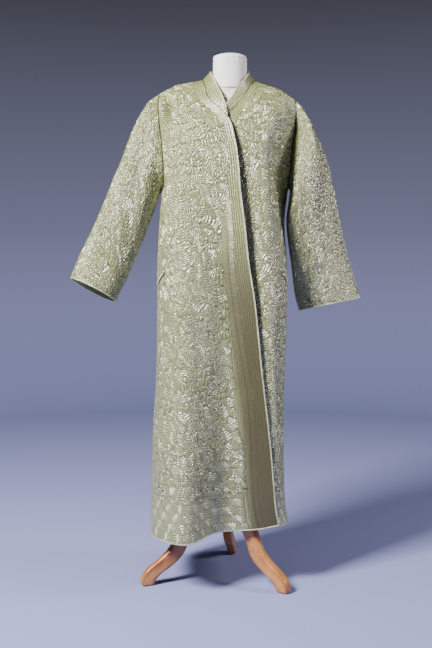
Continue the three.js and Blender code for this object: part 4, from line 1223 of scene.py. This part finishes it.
class Form:
    """The limbless dress form: torso, gathered neck cover and cap."""

    SEAMS = (90, 52, 128, 232, 308, 270)  # the torso's seams, in degrees round it
    NECK_HEIGHTS = (1496, 1500, 1515, 1570, 1588, 1594)
    NECK_RADII = (51.0, 52.2, 51.5, 51.5, 51.0, 48.2)
    CAP_LOW, CAP_RISE, CAP_TOP, CAP_RADIUS = 1594.4, 8.2, 1603, 47.0

    def __init__(self, cotton: bpy.types.Material) -> None:
        self.cotton = cotton

    def build(self) -> list[bpy.types.Object]:
        """Makes the form's pieces."""
        pieces = [self.torso(), self.neck(), self.cap()]
        for piece, node in zip(pieces, ("form_torso", "form_neck", "form_neck_cap")):
            declare(piece, self.cotton, Slot.COTTON, (node,))
        return pieces

    @staticmethod
    def shell(name: str, points: np.ndarray) -> bpy.types.Object:
        """A closed shell from rings of points, its ends filled."""
        bm = bmesh.new()
        plain = np.ones(points.shape[:2])
        around = np.linspace(0, 1, points.shape[1])[None, :] * plain * 500
        down = np.linspace(0, 1, points.shape[0])[:, None] * plain * 500
        verts = MeshMaker.grid(bm, points, around, down, plain)
        bmesh.ops.remove_doubles(bm, verts=verts, dist=5e-6)
        rims = [edge for edge in bm.edges if edge.is_boundary]
        bmesh.ops.holes_fill(bm, edges=rims)
        for edge in rims:
            edge.smooth = False
        bmesh.ops.recalc_face_normals(bm, faces=bm.faces)
        return MeshMaker.finish(name, bm, 500.0)

    def torso(self) -> bpy.types.Object:
        """The torso, with its princess seams pulled in a little."""
        table = Table(TORSO_COLUMNS, TORSO_ROWS)
        angle = np.linspace(0, 2 * np.pi, 97)
        rings = []
        for row in np.linspace(0, len(TORSO_ROWS) - 1, 92):
            z, half, front, back = (table.at(name, row) for name in TORSO_COLUMNS.split())
            depth = np.where(np.sin(angle) < 0, front, back)
            seam = np.minimum.reduce([np.abs(np.angle(np.exp(1j * (angle - a)))) for a in
                                      np.radians(self.SEAMS)])
            size = 1 - 0.012 * np.exp(-(seam / 0.02) ** 2)
            lean = (z - TORSO_ROWS[0][0]) / (TORSO_ROWS[-1][0] - TORSO_ROWS[0][0]) * (NECK_X - TORSO_X)
            rings.append(np.stack([TORSO_X + lean + half * size * np.cos(angle), depth * size * np.sin(angle),
                                   np.full_like(angle, z)], axis=1))
        return self.shell("form_body", np.array(rings))

    def neck(self) -> bpy.types.Object:
        """The neck's cover, gathered towards its top edge."""
        angle = np.linspace(0, 2 * np.pi, 145)
        rings = []
        for z in np.concatenate([[1496.5, 1497.5], np.linspace(1499, 1592, 54), [1593.4, 1594.0]]):
            radius = float(np.interp(z, self.NECK_HEIGHTS, self.NECK_RADII))
            gather = float(smooth_step(z, 1556, 1592))
            folds = (0.55 * np.sin(22 * angle + 1.5 * np.sin(3 * angle))
                     + 0.4 * np.sin(37 * angle + 2 * np.sin(5 * angle)))
            band = -0.9 * math.exp(-((z - 1583) / 1.6) ** 2)
            soft = 0.35 * np.sin(2 * angle + z / 17)
            size = radius + gather * folds + band + soft - 0.4
            rings.append(self.ring(angle, size, np.full_like(angle, z)))
        return self.shell("form_neck_cover", np.array(rings))

    def cap(self) -> bpy.types.Object:
        """The gathered round cap, puffed between its pleats."""
        angle = np.linspace(0, 2 * np.pi, 145)
        rings = []
        for share in np.linspace(0, 1, 34):
            size = 1.5 + (self.CAP_RADIUS - 1.5) * (1 - share)
            z = self.CAP_LOW + self.CAP_RISE * (1 - (1 - share) ** 2.6)
            folds = np.zeros_like(angle)
            if 0 < share < 0.97:
                swell = math.sin(math.pi * min(1.0, share * 1.3 + 0.1))
                folds = 0.5 * np.sin(22 * angle + 1.5 * np.sin(3 * angle)) * swell
            rings.append(self.ring(angle, size, np.minimum(z + folds * 0.8 - 0.4, self.CAP_TOP)))
        return self.shell("form_cap_cover", np.array(rings))

    @staticmethod
    def ring(angle: np.ndarray, size: np.ndarray | float, height: np.ndarray) -> np.ndarray:
        """A ring of points round the neck's axis."""
        return np.stack([NECK_X + size * np.cos(angle), size * np.sin(angle), height], axis=1)


class Stand:
    """The beech pole, hub and three curved legs."""

    POLE = ((0, 330.4), (15, 330.4), (15, 700), (22, 720), (22, 789.4), (0, 789.4))
    HUB = ((0, 176), (11, 176), (14, 177.5), (24, 186), (28.5, 193), (30, 200), (30, 220), (29, 223), (30, 226),
           (30, 270), (29, 273), (30, 276), (30, 296), (28, 305), (24, 312), (20, 328), (18.5, 330), (0, 330))
    LEG_HALF = 13.5
    LEG_ROOT = 30.4  # the legs' flat inner end, which isn't rounded
    BEVEL = 7.5

    def __init__(self, finish: WoodFinish) -> None:
        self.upright = finish.build("stained_beech", (1.0, 1.0, 0.09))
        self.curved = finish.build("stained_beech_leg", (0.5, 0.5, 0.28))

    def build(self) -> list[bpy.types.Object]:
        """Makes the stand's pieces."""
        pole = self.turned("stand_post", self.POLE)
        hub = self.turned("stand_boss", self.HUB)
        declare(pole, self.upright, Slot.WOOD, ("stand_pole",))
        declare(hub, self.upright, Slot.WOOD, ("stand_hub",))
        legs = [self.leg(side, angle) for side, angle in LEG_ANGLES.items()]
        return [pole, hub, *legs]

    @staticmethod
    def turned(name: str, profile: Sequence[tuple[float, float]]) -> bpy.types.Object:
        """A turned piece from its half profile (radius, height)."""
        bm = bmesh.new()
        verts = [bm.verts.new(tuple(to_row_frame(np.array([STAND_X + radius, 0.0, z])))) for radius, z in profile]
        edges = [bm.edges.new(pair) for pair in zip(verts, verts[1:])]
        axis = to_row_frame(np.array([STAND_X, 0.0, 0.0]))
        bmesh.ops.spin(bm, geom=[*verts, *edges], cent=axis, axis=(0, 0, 1), angle=2 * math.pi, steps=56,
                       use_merge=True)
        bmesh.ops.remove_doubles(bm, verts=bm.verts, dist=1e-6)
        bmesh.ops.recalc_face_normals(bm, faces=bm.faces)
        for edge in bm.edges:
            if edge.is_manifold and edge.calc_face_angle(0) > math.radians(35):
                edge.smooth = False
        return Stand.plain(name, bm)

    def leg(self, side: str, degrees: float) -> bpy.types.Object:
        """An S-curved leg, sawn from board and rounded along its edges."""
        outline = centripetal(np.array([(reach, 0.0, z) for reach, z in LEG_OUTLINE]), 3)
        outline[:, 2] = np.maximum(outline[:, 2], 0)
        bm = bmesh.new()
        face = bm.faces.new([bm.verts.new((x * MM, -self.LEG_HALF * MM, z * MM)) for x, _, z in outline])
        grown = bmesh.ops.extrude_face_region(bm, geom=[face])["geom"]
        bmesh.ops.translate(bm, verts=[v for v in grown if isinstance(v, bmesh.types.BMVert)],
                            vec=(0, 2 * self.LEG_HALF * MM, 0))
        bmesh.ops.recalc_face_normals(bm, faces=bm.faces)
        rims = [edge for edge in bm.edges if abs(edge.calc_face_angle(0) - math.pi / 2) < 0.01
                and max(abs(v.co.x - self.LEG_ROOT * MM) for v in edge.verts) > MM]
        bmesh.ops.bevel(bm, geom=rims, offset=self.BEVEL * MM, offset_type="OFFSET", segments=5, profile=0.5,
                        affect="EDGES", clamp_overlap=True, material=-1)
        centre = to_row_frame(np.array([STAND_X, 0.0, 0.0]))
        turn = math.radians(degrees)
        for vert in bm.verts:
            x, y, z = vert.co
            vert.co = (centre[0] + x * math.cos(turn) - y * math.sin(turn),
                       centre[1] + x * math.sin(turn) + y * math.cos(turn), max(z, 0))
        bmesh.ops.recalc_face_normals(bm, faces=bm.faces)
        for edge in bm.edges:
            if edge.is_manifold and edge.calc_face_angle(0) > math.radians(40):
                edge.smooth = False
        obj = self.plain(f"stand_foot_{side}", bm)
        declare(obj, self.curved, Slot.WOOD, (f"stand_leg_{side}",))
        return obj

    @staticmethod
    def plain(name: str, bm: bmesh.types.BMesh) -> bpy.types.Object:
        """An object from a bmesh, smooth apart from its marked edges."""
        mesh = bpy.data.meshes.new(name)
        bm.to_mesh(mesh)
        bm.free()
        mesh.polygons.foreach_set("use_smooth", np.ones(len(mesh.polygons), dtype=bool))
        obj = bpy.data.objects.new(name, mesh)
        bpy.context.scene.collection.objects.link(obj)
        return obj


# ---- Stage ------------------------------------------------------------------

@dataclass(frozen=True)
class SoftLight:
    """An area light aimed at the coat."""

    name: str
    place: tuple[float, float, float]
    size: tuple[float, float]
    power: float
    colour: tuple[float, float, float]
    target: tuple[float, float, float] = (0.0, 0.0, 0.95)

    def build(self) -> None:
        """Adds the light, unseen by the camera."""
        data = bpy.data.lights.new(self.name, "AREA")
        data.shape = "RECTANGLE"
        data.size, data.size_y = self.size
        data.energy = self.power
        data.color = self.colour
        obj = bpy.data.objects.new(self.name, data)
        obj.location = self.target
        aim = obj.location.copy()
        obj.location = self.place
        obj.rotation_euler = (aim - obj.location).to_track_quat("-Z", "Y").to_euler()
        obj.visible_camera = False
        bpy.context.scene.collection.objects.link(obj)


class Studio:
    """Pale floor that curves up into a plain wall all round, soft lights and the camera."""

    LIGHTS = (
        SoftLight("left_softbox", (-1.8, -1.8, 2.75), (0.7, 1.0), 345.0, (0.98, 1.0, 0.98), (0.0, 0.0, 1.45)),
        SoftLight("right_softbox", (2.9, -0.4, 2.0), (0.7, 1.2), 72.0, (1.0, 0.98, 0.95), (0.0, 0.0, 1.1)),
    )
    WORLD = ((0.62, 0.66, 0.78), 0.08)
    RADIUS = 4.6
    COVE = 1.4
    HEIGHT = 4.2

    def build(self) -> None:
        """Makes the stage."""
        profile = [(0.0, 0.0), (self.RADIUS - self.COVE, 0.0)]
        for n in range(1, 13):
            turn = n / 12 * math.pi / 2
            profile.append((self.RADIUS - self.COVE * (1 - math.sin(turn)), self.COVE * (1 - math.cos(turn))))
        profile.append((self.RADIUS, self.HEIGHT))
        bm = bmesh.new()
        verts = [bm.verts.new((x, 0, z)) for x, z in profile]
        edges = [bm.edges.new(pair) for pair in zip(verts, verts[1:])]
        bmesh.ops.spin(bm, geom=[*verts, *edges], cent=(0, 0, 0), axis=(0, 0, 1), angle=2 * math.pi, steps=72,
                       use_merge=True)
        bmesh.ops.remove_doubles(bm, verts=bm.verts, dist=1e-5)
        bmesh.ops.recalc_face_normals(bm, faces=bm.faces)
        bmesh.ops.reverse_faces(bm, faces=bm.faces)
        floor = Stand.plain("studio_floor", bm)
        floor.data.materials.append(self.paper())
        for light in self.LIGHTS:
            light.build()
        world = bpy.data.worlds.new("studio_air")
        world.use_nodes = True
        background = world.node_tree.nodes["Background"]
        background.inputs["Color"].default_value = (*self.WORLD[0], 1.0)
        background.inputs["Strength"].default_value = self.WORLD[1]
        bpy.context.scene.world = world
        self.camera()

    @staticmethod
    def paper() -> bpy.types.Material:
        """Pale paper with painted shade: darker up the wall, and dark round behind the camera."""
        nodes = Nodes("studio_paper")
        place = nodes.add("SeparateXYZ", {"Vector": nodes.add("TexCoord").outputs["Object"]})
        height, depth = place.outputs["Z"], place.outputs["Y"]
        # painted shade: the paper darkens from the floor up the wall
        low = nodes.mix(nodes.span(height, 0.0, 1.3, 0.0, 1.0), linear("#9093c2"), linear("#83849f"))
        colour = nodes.mix(nodes.span(height, 0.7, 2.9, 0.0, 1.0), low, linear("#4d4d55"))
        # painted shade: dark round behind the camera, as in an unlit studio
        colour = nodes.mix(nodes.span(depth, -2.2, -3.4, 0.0, 1.0), colour, linear("#1d1e24"))
        return nodes.surface(Base_Color=colour, Roughness=0.95, Specular_IOR_Level=0.1)

    @staticmethod
    def camera() -> None:
        """A camera one metre up, tilted slightly down."""
        data = bpy.data.cameras.new("camera")
        data.sensor_width = 36.0
        data.sensor_fit = "AUTO"
        data.lens = 54.5
        obj = bpy.data.objects.new("camera", data)
        obj.location = (-0.007, -3.025, 1.0)
        obj.rotation_euler = (math.radians(90 - 4.03), 0, 0)
        bpy.context.scene.collection.objects.link(obj)
        bpy.context.scene.camera = obj


def main() -> None:
    """Builds the coat, its form and stand, and the stage."""
    logging.basicConfig(level=logging.INFO, format="%(name)s: %(message)s")
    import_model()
    silk = SilkFinish()
    binding = SilkFinish(face="#cfccae", age_and_groove_shade="#8f8b66", smooth="#cfccae", pucker_relief_mm=0.2)
    Coat(silk.build("quilted_silk_satin"), binding.build("silk_binding")).build()
    Form(CottonFinish().build("cotton_jersey")).build()
    Stand(WoodFinish()).build()
    Studio().build()


if __name__ == "__main__":
    main()
